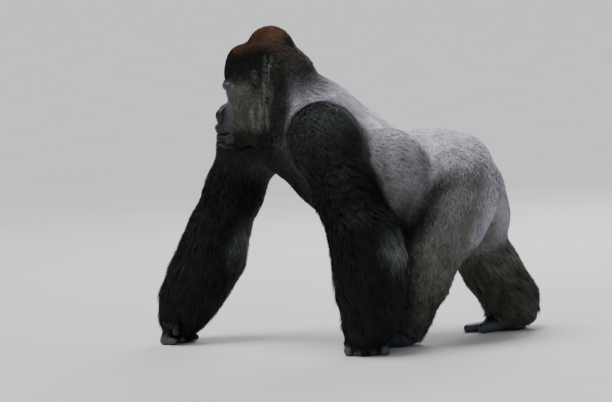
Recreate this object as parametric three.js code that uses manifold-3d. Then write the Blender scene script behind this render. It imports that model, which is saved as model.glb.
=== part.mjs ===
// A silverback gorilla walking on its knuckles: a still, life-size model, millimetres, +Z up.
// It faces -X, its left side is -Y, and its hands and feet stand on small flats at Z 0.
// The body is one smooth field of tapered limbs and muscle masses, in chains that blend at
// their joints. Each named part is a sleeve round its bone, drawn out to the field's surface
// and parted from its neighbours by a thin cut. Sizes reach the tips of the coat.
import * as THREE from "three";
import { mergeVertices } from "three/addons/utils/BufferGeometryUtils.js";
import Module from "manifold-3d";

const wasm = await Module();
wasm.setup();

const V = (x, y, z) => new THREE.Vector3(x, y, z);
const radians = THREE.MathUtils.degToRad;

// ---------------------------------------------------------------- driving sizes
const CUT = 0.6; // width of the thin cuts between parts
const GAP = 0.3; // clearance round a piece that is let into its neighbour
const COLOURS = {
  black: 0x1e1f21,
  silver: 0x8b878b,
  grey: 0x4a4845,
  rust: 0x4b342a,
  skin: 0x24262a,
  eye: 0x1c120c,
};

const HEAD = { at: V(-134, 0, 922), yaw: 20 };
const EYE = { place: [112, 33, -6], radius: 13 };
const EAR = { place: [-16, 102, 50], radii: [21, 9, 29], hollow: [13, 9, 20], flare: 30 };

const ARM = {
  left: {
    shoulder: V(70, -207, 762),
    elbow: V(192, -314, 425),
    wrist: V(207, -308, 140),
    knuckle: V(190, -310, 88),
    back: -104, // heading of the back of the hand
    sag: 12, // how far the hair of the forearm hangs behind its bone
    cuff: 72, // height of the end of the wrist's hair
    girth: { top: 114, upper: 112, elbow: 127, fore: 131, lower: 125, wrist: 106, hand: 82 },
  },
  right: {
    shoulder: V(-170, 198, 752),
    elbow: V(-322, 262, 412),
    wrist: V(-456, 256, 145),
    knuckle: V(-484, 254, 88),
    back: 140,
    sag: 15,
    cuff: 84,
    girth: { top: 112, upper: 103, elbow: 115, fore: 127, lower: 120, wrist: 112, hand: 84 },
  },
};
const FINGER = { spacing: 41, lean: 24, knuckle: 28, root: 19, middle: 18, tip: 14, folded: 46 };
const LEG = {
  left: {
    hip: V(545, -118, 540),
    knee: V(430, -176, 325),
    ankle: V(352, -132, 105),
    foot: V(326, -132, 0), // floor point below the ankle joint
    heading: 184, // of the toes
    heel: 0, // height of the heel off the floor
    girth: { thigh: 134, knee: 102, calf: 97, ankle: 78 },
  },
  right: {
    hip: V(582, 112, 515),
    knee: V(612, 175, 315),
    ankle: V(724, 150, 112),
    foot: V(768, 150, 0),
    heading: 176,
    heel: 14,
    girth: { thigh: 132, knee: 104, calf: 106, ankle: 108 },
  },
};
const FOOT = { back: 12, ball: 118, toes: 205, breadth: 98 };

// ---------------------------------------------------------------- the field
// Each form gives a signed distance, negative inside, and how widely it blends.
function blob(centre, radii, turn = [0, 0, 0], blend = 45) {
  const [yaw, pitch, roll] = turn.map(radians);
  const back = new THREE.Quaternion().setFromEuler(new THREE.Euler(roll, pitch, yaw, "ZYX")).invert();
  const [rx, ry, rz] = radii;
  const q = V(0, 0, 0);
  const distance = (p) => {
    q.copy(p).sub(centre).applyQuaternion(back);
    const near = Math.hypot(q.x / rx, q.y / ry, q.z / rz);
    const slope = Math.hypot(q.x / rx ** 2, q.y / ry ** 2, q.z / rz ** 2);
    return slope > 1e-9 ? (near * (near - 1)) / slope : -Math.min(rx, ry, rz);
  };
  return { distance, blend };
}

// A tapered limb from a to b.
function taper(a, b, ra, rb, blend = 45) {
  const along = b.clone().sub(a);
  const q = V(0, 0, 0);
  const distance = (p) => {
    q.copy(p).sub(a);
    const t = THREE.MathUtils.clamp(q.dot(along) / along.lengthSq(), 0, 1);
    return q.addScaledVector(along, -t).length() - (ra + (rb - ra) * t);
  };
  return { distance, blend };
}

const smoothMin = (a, b, k) => {
  const h = Math.max(k - Math.abs(a - b), 0) / k;
  return Math.min(a, b) - (h * h * k) / 4;
};

// The smooth union of forms, then of hollows cut out of it.
function chain(forms, hollows = []) {
  return (p) => {
    let d = Infinity;
    for (const form of forms) d = d === Infinity ? form.distance(p) : smoothMin(d, form.distance(p), form.blend);
    for (const hollow of hollows) d = -smoothMin(-d, hollow.distance(p), hollow.blend);
    return d;
  };
}

// ---------------------------------------------------------------- trunk and neck
const TRUNK_FORMS = [
  blob(V(158, 0, 640), [272, 232, 200], [-8, 34, 0], 60), // rib cage
  blob(V(50, 0, 735), [180, 200, 140], [-10, 28, 0], 60), // shoulder girdle
  blob(V(205, 0, 700), [200, 190, 120], [-6, 38, 0], 50), // back muscles
  blob(V(-45, 10, 712), [115, 180, 98], [-15, 20, 0], 50), // breast
  taper(V(10, 105, 735), V(-115, 165, 745), 118, 106, 60), // far shoulder, reaching forward
  blob(V(325, 0, 488), [175, 195, 135], [0, 10, 0], 60), // belly
  blob(V(285, -150, 600), [155, 124, 180], [0, 15, 0], 28), // near flank of the ribs
  blob(V(265, 150, 600), [155, 121, 175], [0, 15, 0], 28), // far flank of the ribs
  blob(V(446, 0, 638), [192, 132, 122], [0, 4, 0], 52), // loin
  blob(V(546, 0, 602), [130, 170, 134], [0, 8, 0], 50), // pelvis
  blob(V(575, -92, 540), [105, 105, 140], [0, 0, 0], 50), // near buttock
  blob(V(598, 88, 468), [106, 100, 140], [0, 0, 0], 50), // far buttock
];
const NECK_FORMS = [
  taper(V(46, 0, 794), V(-105, 0, 886), 167, 130, 60),
  taper(V(20, 0, 745), V(-130, 0, 840), 130, 100, 50),
  blob(V(24, 0, 882), [88, 108, 88], [0, 30, 0], 50), // nape
];

// ---------------------------------------------------------------- head
// Head forms are placed by distances forward of, left of and above the head's centre.
const headTurn = new THREE.Quaternion().setFromEuler(new THREE.Euler(0, 0, radians(180 - HEAD.yaw)));
const onHead = (forward, left, up) => V(forward, left, up).applyQuaternion(headTurn).add(HEAD.at);
const headBlob = (place, radii, blend = 25, turn = [0, 0, 0]) =>
  blob(onHead(...place), radii, [180 - HEAD.yaw + turn[0], turn[1], turn[2]], blend);
const headTaper = (a, b, ra, rb, blend = 25) => taper(onHead(...a), onHead(...b), ra, rb, blend);
const both = (make) => [make(1), make(-1)];

const HEAD_FORMS = [
  headBlob([-20, 0, 60], [120, 92, 100], 40), // braincase
  headBlob([-38, 0, 147], [91, 54, 86], 40), // crest
  ...both((s) => headBlob([-26, s * 38, 100], [85, 50, 80], 40)), // temple muscles
  headBlob([70, 0, 90], [62, 68, 76], 35), // forehead
  headBlob([-104, 0, 64], [92, 92, 80], 50), // nape muscle
  headBlob([84, 0, 60], [50, 58, 38], 25), // low forehead
  headBlob([123, 0, 26], [24, 46, 20], 20), // brow, middle
  ...both((s) => headBlob([106, s * 48, 24], [27, 34, 21], 20)), // brow, sides
  ...both((s) => headBlob([72, s * 64, -20], [38, 36, 36], 30)), // cheek bones
  headTaper([96, 0, 2], [122, 0, -46], 17, 19, 18), // bridge of the nose
  headBlob([102, 0, -112], [74, 58, 62], 30), // muzzle
  headBlob([146, 0, -66], [24, 27, 24], 12), // ridge above the nostrils
  headBlob([160, 0, -88], [22, 20, 22], 14), // nose tip
  ...both((s) => headBlob([150, s * 26, -84], [26, 22, 28], 12)), // nostril wings
  headBlob([159, 0, -128], [28, 46, 21], 14), // upper lip
  headBlob([152, 0, -147], [28, 44, 20], 10), // closed mouth
  headBlob([156, 0, -164], [28, 42, 17], 12), // lower lip
  headBlob([134, 0, -184], [42, 38, 24], 20), // chin
  ...both((s) => headTaper([98, s * 30, -168], [-30, s * 66, -80], 40, 52, 30)), // jaw
  ...both((s) => headBlob([10, s * 62, -40], [80, 46, 95], 35)), // jaw muscles
  headBlob([-20, 0, -130], [110, 70, 70], 50), // throat
];
const HEAD_HOLLOWS = both((s) => headBlob([132, s * 35, -10], [18, 20, 12], 12)); // eye sockets

// ---------------------------------------------------------------- arms and hands
const heading = (degrees) => V(Math.cos(radians(degrees)), Math.sin(radians(degrees)), 0);

function armForms({ shoulder, elbow, wrist, knuckle, sag, girth }) {
  const upper = (share) => shoulder.clone().lerp(elbow, share);
  const fore = (share) => elbow.clone().lerp(wrist, share).add(V(1.5 * sag * (1 - share), 0, 0));
  return {
    upper: [
      blob(upper(0.04), [134, 118, 139], [0, 0, 0], 60), // deltoid
      taper(upper(0.2), upper(0.6), girth.top, girth.upper, 50), // biceps and triceps
      taper(upper(0.6), elbow, girth.upper, girth.elbow, 50),
    ],
    fore: [
      taper(elbow, fore(0.35), girth.elbow, girth.fore, 40),
      taper(fore(0.35), fore(0.7), girth.fore, girth.lower, 40),
      taper(fore(0.7), wrist, girth.lower, girth.wrist, 40),
    ],
    hand: [taper(wrist, knuckle, girth.wrist - 8, girth.hand, 30)],
  };
}

// The palm is four long bones side by side under the hair of the wrist. Each finger is folded,
// so that the back of its middle bone lies on the floor.
function handForms({ wrist, knuckle, back, cuff, girth }, side) {
  const out = heading(back);
  const row = heading(back + (side === "left" ? 90 : -90)); // from first finger to little finger
  const at = (along, outward, up) =>
    V(knuckle.x, knuckle.y, 0).addScaledVector(row, along).addScaledVector(out, outward).setZ(up);
  const palm = [-1, 1].map((s) => taper(wrist, at(s * 16, -6, cuff), girth.wrist - 3, girth.hand - 12, 30));
  const fingers = [];
  [-1.5, -0.5, 0.5, 1.5].forEach((step, i) => {
    const size = [0.98, 1.05, 1.02, 0.9][i];
    const along = FINGER.spacing * step;
    const knuckleAt = at(along, -4, knuckle.z);
    const bend = at(along * 1.04, FINGER.lean, (FINGER.middle - 1.5) * size);
    const fold = at(along, FINGER.lean - FINGER.folded * size, FINGER.tip * size + 1);
    palm.push(taper(wrist.clone().addScaledVector(row, along * 0.5), knuckleAt, 46, FINGER.knuckle, 26));
    const bones = [
      taper(knuckleAt, bend, FINGER.root * size, FINGER.middle * size, 8),
      taper(bend, fold, FINGER.middle * size, FINGER.tip * size, 8),
    ];
    fingers.push({ from: knuckleAt, to: bend.clone().lerp(fold, 0.4), field: chain(bones) });
  });
  const thumb = { a: at(-58, -30, 104), b: at(-74, -42, 50), ra: 20, rb: 14 };
  return { palm, fingers, thumb, middle: at(0, -2, knuckle.z) };
}

// ---------------------------------------------------------------- legs and feet
function legForms({ hip, knee, ankle, girth }) {
  const thigh = (share) => hip.clone().lerp(knee, share);
  const shank = (share) => knee.clone().lerp(ankle, share);
  return {
    thigh: [
      taper(hip, thigh(0.5), girth.thigh + 8, girth.thigh, 50),
      taper(thigh(0.5), knee, girth.thigh, girth.knee, 50),
    ],
    shank: [
      taper(knee, shank(0.4), girth.knee, girth.calf, 40),
      taper(shank(0.4), ankle, girth.calf, girth.ankle, 40),
    ],
    foot: [taper(ankle, ankle.clone().setZ(ankle.z - 50), girth.ankle - 2, girth.ankle - 20, 30)],
  };
}

// The sole rests on the ball and the toes. A raised heel tilts the foot behind the ball.
function footForms({ ankle, foot, heading: ahead, heel, girth }, side) {
  const front = heading(ahead);
  const inward = heading(ahead + (side === "left" ? -90 : 90));
  const { back, ball, toes: reach, breadth } = FOOT;
  const lift = (forward) => heel * THREE.MathUtils.clamp((ball - forward) / (ball + back), 0, 1);
  const at = (forward, across, up) =>
    foot
      .clone()
      .addScaledVector(front, forward)
      .addScaledVector(inward, across)
      .setZ(up + lift(forward));
  const sole = [
    taper(ankle, at(10, 0, 48), girth.ankle - 4, 46, 30), // hair of the ankle
    taper(at(-back, 0, 37), at(25, 0, 42), 40, 40, 24), // heel
    taper(at(20, 2, 46), at(ball - 20, 4, 34), 42, 32, 30), // instep
    taper(at(20, -22, 31), at(ball, -30, 23), 32, 24, 26), // outer edge
    taper(at(ball - 15, -breadth * 0.25, 25), at(ball - 5, breadth * 0.22, 26), 26, 27, 26), // ball
    taper(at(30, 14, 34), at(ball - 40, 40, 27), 30, 27, 26), // root of the big toe
  ];
  const toes = [0.33, 0.07, -0.19, -0.43].map((share, i) => ({
    a: at(ball - 4 * i, breadth * share * 0.92, 22),
    b: at(reach - [0, 1, 9, 22][i], breadth * share * 1.1, 12.5 - 0.7 * i),
    ra: 13.5 - 0.5 * i,
    rb: 13.5 - 0.8 * i,
  }));
  toes.push({ a: at(ball - 42, 40, 25), b: at(ball + 30, 74, 17.5), ra: 24, rb: 18.5 }); // big toe
  return { sole, toes, heelAt: at(0, 0, 40), ballAt: at(ball - 20, 2, 28) };
}

const sides = ["left", "right"];
const forSides = (make) => Object.fromEntries(sides.map((side) => [side, make(side)]));
const ARM_FORMS = forSides((side) => armForms(ARM[side]));
const HAND_FORMS = forSides((side) => handForms(ARM[side], side));
const LEG_FORMS = forSides((side) => legForms(LEG[side]));
const FOOT_FORMS = forSides((side) => footForms(LEG[side], side));

const axialField = chain([...TRUNK_FORMS, ...NECK_FORMS, ...HEAD_FORMS], HEAD_HOLLOWS);
const trunkField = chain([...TRUNK_FORMS, ...NECK_FORMS]);
const armField = ({ upper, fore }) => chain([...TRUNK_FORMS, ...NECK_FORMS, ...upper, ...fore]);
const foreField = ({ upper, fore, hand }) => chain([...upper, ...fore, ...hand]);
const thighField = ({ thigh, shank }) => chain([...TRUNK_FORMS, ...thigh, ...shank]);
const shankField = ({ thigh, shank, foot }) => chain([...thigh, ...shank, ...foot]);

// ---------------------------------------------------------------- solids
// A closed manifold solid from a three.js geometry.
function solid(geometry) {
  const bare = new THREE.BufferGeometry().setAttribute("position", geometry.getAttribute("position"));
  if (geometry.index) bare.setIndex(geometry.index);
  const merged = mergeVertices(bare, 1e-3);
  const corners = [];
  for (let i = 0; i < merged.index.count; i += 3) {
    const [a, b, c] = [0, 1, 2].map((j) => merged.index.getX(i + j));
    if (a !== b && b !== c && c !== a) corners.push(a, b, c);
  }
  const mesh = { numProp: 3, vertProperties: merged.attributes.position.array, triVerts: new Uint32Array(corners) };
  return new wasm.Manifold(new wasm.Mesh(mesh));
}

// The distance from a point inside a field, along a ray, to the field's surface or to the reach.
function exitDistance(field, from, way, reach) {
  const point = V(0, 0, 0);
  const value = (t) => field(point.copy(from).addScaledVector(way, t));
  const steps = 28;
  for (let i = 1; i <= steps; i++) {
    if (value((reach * i) / steps) <= 0) continue;
    let [inside, outside] = [(reach * (i - 1)) / steps, (reach * i) / steps];
    for (let j = 0; j < 14; j++) {
      const middle = (inside + outside) / 2;
      if (value(middle) > 0) outside = middle;
      else inside = middle;
    }
    return inside;
  }
  return reach;
}

// A round-ended rod of three.js lathe work from a to b, along which shape gives each ray's length.
function sleeve({ from, to, sides: around, rings, startRings, endRings }, shape) {
  const along = to.clone().sub(from);
  const long = along.length();
  const profile = [];
  for (let i = 0; i <= startRings; i++) {
    const a = (Math.PI / 2) * (i / startRings);
    profile.push(new THREE.Vector2(i ? Math.sin(a) : 0, -Math.cos(a)));
  }
  for (let i = 1; i < rings; i++) profile.push(new THREE.Vector2(1, (long * i) / rings));
  for (let i = endRings; i >= 0; i--) {
    const a = (Math.PI / 2) * (i / endRings);
    profile.push(new THREE.Vector2(i ? Math.sin(a) : 0, long + Math.cos(a)));
  }
  const geometry = new THREE.LatheGeometry(profile, around);
  const turn = new THREE.Quaternion().setFromUnitVectors(V(0, 1, 0), along.clone().normalize());
  const places = geometry.getAttribute("position");
  const way = V(0, 0, 0);
  const base = V(0, 0, 0);
  for (let i = 0; i < places.count; i++) {
    way.fromBufferAttribute(places, i);
    base.set(0, THREE.MathUtils.clamp(way.y, 0, long), 0);
    way.sub(base).normalize().applyQuaternion(turn);
    const share = base.y / long;
    base.applyQuaternion(turn).add(from);
    base.addScaledVector(way, shape(base, way, share));
    places.setXYZ(i, base.x, base.y, base.z);
  }
  return solid(geometry);
}

// A sleeve whose rays run out to the surface of its field.
const wrap = (bone) => sleeve(bone, (base, way) => exitDistance(bone.field, base, way, bone.reach));

// A plain tapered rod with round ends, for fingers and toes.
const rod = ({ a, b, ra, rb }, around = 6, ends = 2) =>
  sleeve({ from: a, to: b, sides: around, rings: 1, startRings: 1, endRings: ends },
    (base, way, share) => ra + (rb - ra) * share);

// The space round a bone that belongs to its part, grown a little when it cuts its neighbours.
const claim = ({ from, to, claimed }, grow = 0) =>
  sleeve({ from, to, sides: 16, rings: 1, startRings: 4, endRings: 1 }, () => claimed + grow);

// An egg-shaped solid with three radii.
function egg(centre, radii, turn, [around, rings]) {
  const geometry = new THREE.SphereGeometry(1, around, rings).scale(...radii);
  const [yaw, pitch, roll] = turn.map(radians);
  geometry.applyQuaternion(new THREE.Quaternion().setFromEuler(new THREE.Euler(roll, pitch, yaw, "ZYX")));
  return solid(geometry.translate(centre.x, centre.y, centre.z));
}

// Keeps what lies beyond or before a plane through a point, less half of the cut.
const beyond = (piece, { at, way }, margin = CUT / 2) => {
  const n = way.clone().normalize();
  return piece.trimByPlane([n.x, n.y, n.z], n.dot(at) + margin);
};
const before = (piece, { at, way }, margin) => beyond(piece, { at, way: way.clone().negate() }, margin);

// ---------------------------------------------------------------- bones and cuts
const neckCut = { at: V(0, 0, 800), way: V(1, 0, -0.35) };
const headCut = { at: V(-95, 0, 900), way: V(1, 0, -0.75) };
const waistCut = { at: V(420, 0, 600), way: V(1, 0, -0.25) };
const floor = { at: V(0, 0, -CUT / 2), way: V(0, 0, 1) };
const bisector = (a, b, c) => ({ at: b, way: b.clone().sub(a).normalize().add(c.clone().sub(b).normalize()) });

const trunkBone = {
  from: V(20, 0, 730), to: V(560, 0, 570), reach: 420, field: trunkField,
  sides: 22, rings: 11, startRings: 5, endRings: 4,
};
const neckBone = {
  from: V(90, 0, 800), to: V(-130, 0, 880), reach: 300, field: axialField,
  sides: 20, rings: 6, startRings: 4, endRings: 4,
};
const headBone = {
  from: onHead(-60, 0, 60), to: onHead(60, 0, -32), reach: 330, field: axialField,
  sides: 30, rings: 4, startRings: 5, endRings: 16,
};
const upperArmBone = (side) => ({
  from: ARM[side].shoulder, to: ARM[side].elbow, reach: 165, claimed: 146, field: armField(ARM_FORMS[side]),
  sides: 16, rings: 6, startRings: 4, endRings: 3,
});
const foreArmBone = (side) => ({
  from: ARM[side].elbow, to: ARM[side].wrist, reach: 170, field: foreField(ARM_FORMS[side]),
  sides: 14, rings: 6, startRings: 2, endRings: 2,
});
const palmBone = (side) => ({
  from: ARM[side].wrist, to: HAND_FORMS[side].middle, reach: 130, field: chain(HAND_FORMS[side].palm),
  sides: 12, rings: 3, startRings: 1, endRings: 3,
});
const fingerMesh = { reach: 60, sides: 8, rings: 2, startRings: 1, endRings: 4 };
const thighBone = (side) => ({
  from: LEG[side].hip, to: LEG[side].knee, reach: 180, claimed: 162, field: thighField(LEG_FORMS[side]),
  sides: 16, rings: 5, startRings: 4, endRings: 3,
});
const shankBone = (side) => ({
  from: LEG[side].knee, to: LEG[side].ankle, reach: 150, field: shankField(LEG_FORMS[side]),
  sides: 14, rings: 5, startRings: 2, endRings: 2,
});
const soleBone = (side) => ({
  from: FOOT_FORMS[side].heelAt, to: FOOT_FORMS[side].ballAt, reach: 120, field: chain(FOOT_FORMS[side].sole),
  sides: 12, rings: 4, startRings: 3, endRings: 3,
});

// ---------------------------------------------------------------- parts
const parts = {};
const add = (name, piece, colour) => (parts[name] = { piece, colour });
const union = (pieces) => wasm.Manifold.union(pieces);

let trunk = wrap(trunkBone);
let neck = beyond(before(wrap(neckBone), neckCut), headCut);
let head = before(wrap(headBone), headCut);
for (const side of sides) {
  const arm = ARM[side];
  const leg = LEG[side];
  const elbowCut = bisector(arm.shoulder, arm.elbow, arm.wrist);
  const kneeCut = bisector(leg.hip, leg.knee, leg.ankle);
  const wristCut = { at: arm.wrist.clone().lerp(arm.knuckle, 0.1), way: arm.knuckle.clone().sub(arm.wrist) };
  const ankleCut = { at: leg.ankle.clone().setZ(leg.ankle.z - 30), way: V(0, 0, -1) };
  const midCut = { at: V(0, 0, 0), way: V(0, side === "left" ? -1 : 1, 0) };
  const thighMiddle = leg.hip.clone().lerp(leg.knee, 0.5);
  const flankCut = {
    at: arm.elbow.clone().lerp(thighMiddle, 0.5),
    way: thighMiddle.clone().sub(arm.elbow).setZ(0),
  };
  const upperArm = before(wrap(upperArmBone(side)).intersect(claim(upperArmBone(side))), flankCut);
  const thigh = beyond(wrap(thighBone(side)).intersect(claim(thighBone(side))), flankCut);
  const armRoom = before(claim(upperArmBone(side), GAP), flankCut, 0);
  const thighRoom = beyond(claim(thighBone(side), GAP), flankCut, 0);
  trunk = trunk.subtract(armRoom).subtract(thighRoom);
  neck = neck.subtract(armRoom);
  head = head.subtract(armRoom);
  add(`${side}_upper_arm`, before(upperArm, elbowCut), COLOURS.black);
  add(`${side}_forearm`, before(beyond(wrap(foreArmBone(side)), elbowCut), wristCut), COLOURS.black);
  const { fingers, thumb } = HAND_FORMS[side];
  const hand = union([wrap(palmBone(side)), ...fingers.map((f) => wrap({ ...f, ...fingerMesh })), rod(thumb)]);
  add(`${side}_hand`, beyond(beyond(hand, wristCut), floor), COLOURS.skin);
  add(`${side}_thigh`, beyond(before(thigh, kneeCut), midCut), COLOURS.silver);
  add(`${side}_shank`, before(beyond(wrap(shankBone(side)), kneeCut), ankleCut), COLOURS.grey);
  const foot = union([wrap(soleBone(side)), ...FOOT_FORMS[side].toes.map((toe) => rod(toe))]);
  add(`${side}_foot`, beyond(beyond(foot, ankleCut), floor), COLOURS.skin);
}

// Eyes and ears are let into the head.
for (const side of sides) {
  const s = side === "left" ? 1 : -1;
  const eyeAt = onHead(EYE.place[0], s * EYE.place[1], EYE.place[2]);
  const ball = (grow) => egg(eyeAt, Array(3).fill(EYE.radius + grow), [0, 0, 0], [10, 6]);
  const earAt = onHead(EAR.place[0], s * EAR.place[1], EAR.place[2]);
  const turn = [180 - HEAD.yaw + s * EAR.flare, 8, 0];
  const shell = (grow) => egg(earAt, EAR.radii.map((r) => r + grow), turn, [10, 6]);
  const hollowAt = onHead(EAR.place[0] + 4, s * (EAR.place[1] + 9), EAR.place[2] + 2);
  const hollow = egg(hollowAt, EAR.hollow, turn, [8, 5]);
  head = head.subtract(ball(GAP)).subtract(shell(GAP));
  add(`${side}_eye`, ball(0), COLOURS.eye);
  add(`${side}_ear`, shell(0).subtract(hollow), COLOURS.skin);
}
add("chest", before(beyond(trunk, neckCut), waistCut), COLOURS.silver);
add("loin", beyond(trunk, waistCut), COLOURS.silver);
add("neck", neck, COLOURS.grey);
add("head", head, COLOURS.rust);

// ---------------------------------------------------------------- scene
const gorilla = new THREE.Group();
for (const [name, { piece, colour }] of Object.entries(parts)) {
  const [largest] = piece.decompose().sort((a, b) => b.volume() - a.volume());
  const mesh = largest.getMesh();
  const geometry = new THREE.BufferGeometry()
    .setAttribute("position", new THREE.BufferAttribute(mesh.vertProperties, 3))
    .setIndex(new THREE.BufferAttribute(mesh.triVerts, 1));
  const made = new THREE.Mesh(geometry, new THREE.MeshStandardMaterial({ color: colour, roughness: 0.85 }));
  made.name = name;
  gorilla.add(made);
}
// The middle of the bounding box stands over the origin, with the flats at Z 0.
const box = new THREE.Box3().setFromObject(gorilla);
const middle = box.getCenter(V(0, 0, 0));
gorilla.children.forEach(({ geometry }) => geometry.translate(-middle.x, -middle.y, -box.min.z));
export default gorilla;
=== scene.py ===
# A silverback gorilla walking on its knuckles, over the CAD frame: one skin, eyes, toenails and a coat
# of mesh tufts. Shapes are drawn in millimetres where the animal faces -X with its left side at -Y,
# and moved into the row frame, in metres, by in_row.
import math

import bpy
import numpy as np
from mathutils import Matrix, Vector


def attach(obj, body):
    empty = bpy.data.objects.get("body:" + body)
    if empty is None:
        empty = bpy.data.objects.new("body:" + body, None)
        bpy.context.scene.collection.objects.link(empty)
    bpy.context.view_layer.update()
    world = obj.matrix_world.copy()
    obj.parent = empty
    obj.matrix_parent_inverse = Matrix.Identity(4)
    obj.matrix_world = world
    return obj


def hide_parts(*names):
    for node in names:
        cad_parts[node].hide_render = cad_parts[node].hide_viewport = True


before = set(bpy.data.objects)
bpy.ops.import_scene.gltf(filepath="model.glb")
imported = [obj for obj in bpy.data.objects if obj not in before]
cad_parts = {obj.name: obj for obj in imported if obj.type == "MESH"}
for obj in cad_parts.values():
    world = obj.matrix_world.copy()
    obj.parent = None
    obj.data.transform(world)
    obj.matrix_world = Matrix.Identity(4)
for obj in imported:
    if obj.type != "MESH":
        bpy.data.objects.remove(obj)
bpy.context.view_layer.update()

MIDDLE = np.array([132.98, -27.94, 0.0])  # the row frame's origin, on the floor, in drawing millimetres
rng = np.random.default_rng(7)


def in_row(points):
    return (np.asarray(points, dtype=np.float64) - MIDDLE) / 1000.0


def vec(*numbers):
    return np.array(numbers, dtype=np.float64)


def unit(v):
    return v / np.maximum(np.linalg.norm(v, axis=-1, keepdims=True), 1e-9)


def mix(a, b, share):
    return a + (b - a) * share


def ramp(x, low, high):
    """0 below low, 1 above high, smooth between."""
    t = np.clip((x - low) / (high - low), 0.0, 1.0)
    return t * t * (3.0 - 2.0 * t)


# --- camera
SENSOR, PICTURE_WIDTH, PIXELS_PER_METRE, DISTANCE = 36.0, 612, 280.0, 10.0  # mm, pixels, at the animal, m
ELEVATION, ROLL, AIM_HEIGHT = math.radians(5.0), math.radians(3.0), 520.0
camera_data = bpy.data.cameras.new("camera")
camera_data.sensor_width = SENSOR
camera_data.lens = SENSOR * DISTANCE * PIXELS_PER_METRE / PICTURE_WIDTH
camera = bpy.data.objects.new("camera", camera_data)
bpy.context.scene.collection.objects.link(camera)
bpy.context.scene.camera = camera
target = Vector(in_row([0.0, 0.0, AIM_HEIGHT]))
forward = Vector((0.0, math.cos(ELEVATION), -math.sin(ELEVATION)))
level_right, level_up = Vector((1.0, 0.0, 0.0)), Vector((0.0, math.sin(ELEVATION), math.cos(ELEVATION)))
right = level_right * math.cos(ROLL) - level_up * math.sin(ROLL)
up = level_right * math.sin(ROLL) + level_up * math.cos(ROLL)
turn = Matrix((right, up, -forward)).transposed()
camera.matrix_world = Matrix.Translation(target - forward * DISTANCE) @ turn.to_4x4()

# --- zones of the coat
# Each mass of flesh belongs to a zone. A zone has the depth of its hair over the skin in mm, and how much
# its locks differ in shade, which on the arms is raised to paint the sheen on their locks. Of a tuft it has
# the length and width in mm, how many stand on a square metre, and the segments. Of a lock it has the size
# in mm, how far it draws together, its waves in mm, and how loosely it lies.
HAIR = dict(
    face=(2.0, 0.11, 9, 1.0, 170000, 2, 6, 0.2, 0.1, 0.8),
    crown=(9.0, 0.11, 18, 1.5, 330000, 2, 6, 0.3, 0.3, 0.95),
    cheek=(8.0, 0.22, 28, 1.6, 300000, 2, 9, 0.6, 0.8, 0.95),
    nape=(12.0, 0.38, 20, 1.7, 280000, 2, 6, 0.7, 1.4, 1.0),
    neck=(13.0, 0.11, 26, 1.8, 200000, 2, 6, 0.4, 0.4, 0.95),
    back=(12.0, 0.11, 26, 1.9, 175000, 2, 6, 0.35, 0.3, 0.95),
    flank=(12.0, 0.11, 26, 1.9, 170000, 2, 6, 0.35, 0.4, 0.95),
    belly=(14.0, 0.11, 36, 2.4, 100000, 2, 12, 0.5, 1.0, 1.0),
    breast=(12.0, 0.11, 30, 2.2, 130000, 2, 12, 0.5, 1.0, 1.0),
    rump=(13.0, 0.11, 27, 1.9, 165000, 2, 6, 0.35, 0.4, 0.95),
    shoulder=(12.0, 0.22, 24, 1.9, 165000, 2, 9, 0.5, 0.6, 0.95),
    upperarm=(17.0, 0.28, 42, 2.1, 110000, 3, 15, 0.6, 1.6, 1.0),
    forearm=(26.0, 0.34, 74, 2.2, 88000, 4, 18, 0.75, 3.5, 1.0),
    wrist=(20.0, 0.3, 62, 2.2, 110000, 4, 18, 0.7, 2.5, 1.0),
    finger=(1.5, 0.11, 20, 1.5, 120000, 2, 9, 0.5, 0.8, 1.0),
    thigh=(15.0, 0.11, 32, 2.0, 150000, 2, 9, 0.5, 0.8, 1.0),
    shank=(20.0, 0.24, 46, 2.2, 105000, 3, 15, 0.65, 1.8, 1.0),
    foot=(2.0, 0.11, 12, 1.3, 70000, 2, 9, 0.3, 0.4, 0.9),
    ear=(1.0, 0.11, 6, 0.9, 60000, 2, 9, 0.2, 0.1, 0.7),
)
ZONES = list(HAIR)
ZONE = {name: i for i, name in enumerate(ZONES)}
COAT_TABLE, CONTRAST_TABLE = (np.array([row[i] for row in HAIR.values()]) for i in (0, 1))
HAIR_TABLE = np.array([row[2:] for row in HAIR.values()], dtype=np.float64)

# --- the field
def rotation(yaw, pitch=0.0, roll=0.0):
    a, b, c = (math.radians(v) for v in (yaw, pitch, roll))
    rz = np.array([[math.cos(a), -math.sin(a), 0], [math.sin(a), math.cos(a), 0], [0, 0, 1]])
    ry = np.array([[math.cos(b), 0, math.sin(b)], [0, 1, 0], [-math.sin(b), 0, math.cos(b)]])
    rx = np.array([[1, 0, 0], [0, math.cos(c), -math.sin(c)], [0, math.sin(c), math.cos(c)]])
    return rz @ ry @ rx


LIE = (1.0, 0.0, -0.3)  # the way most hair lies


class Form:
    """A mass of flesh, or a hollow cut from it, with its blending, zone and the way its hair lies."""

    def __init__(self, zone, blend, low, high, distance, lie, coat, cut=False):
        self.blend, self.distance, self.cut = blend, distance, cut
        self.coat = HAIR[zone][0] if coat is None else coat
        reach = blend + 8.0  # beyond this the form changes nothing
        self.low, self.high = low - reach, high + reach
        self.traits = np.zeros(len(ZONES) + 3, dtype=np.float32)
        self.traits[ZONE[zone]] = 1.0
        self.traits[-3:] = unit(vec(*lie))


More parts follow.
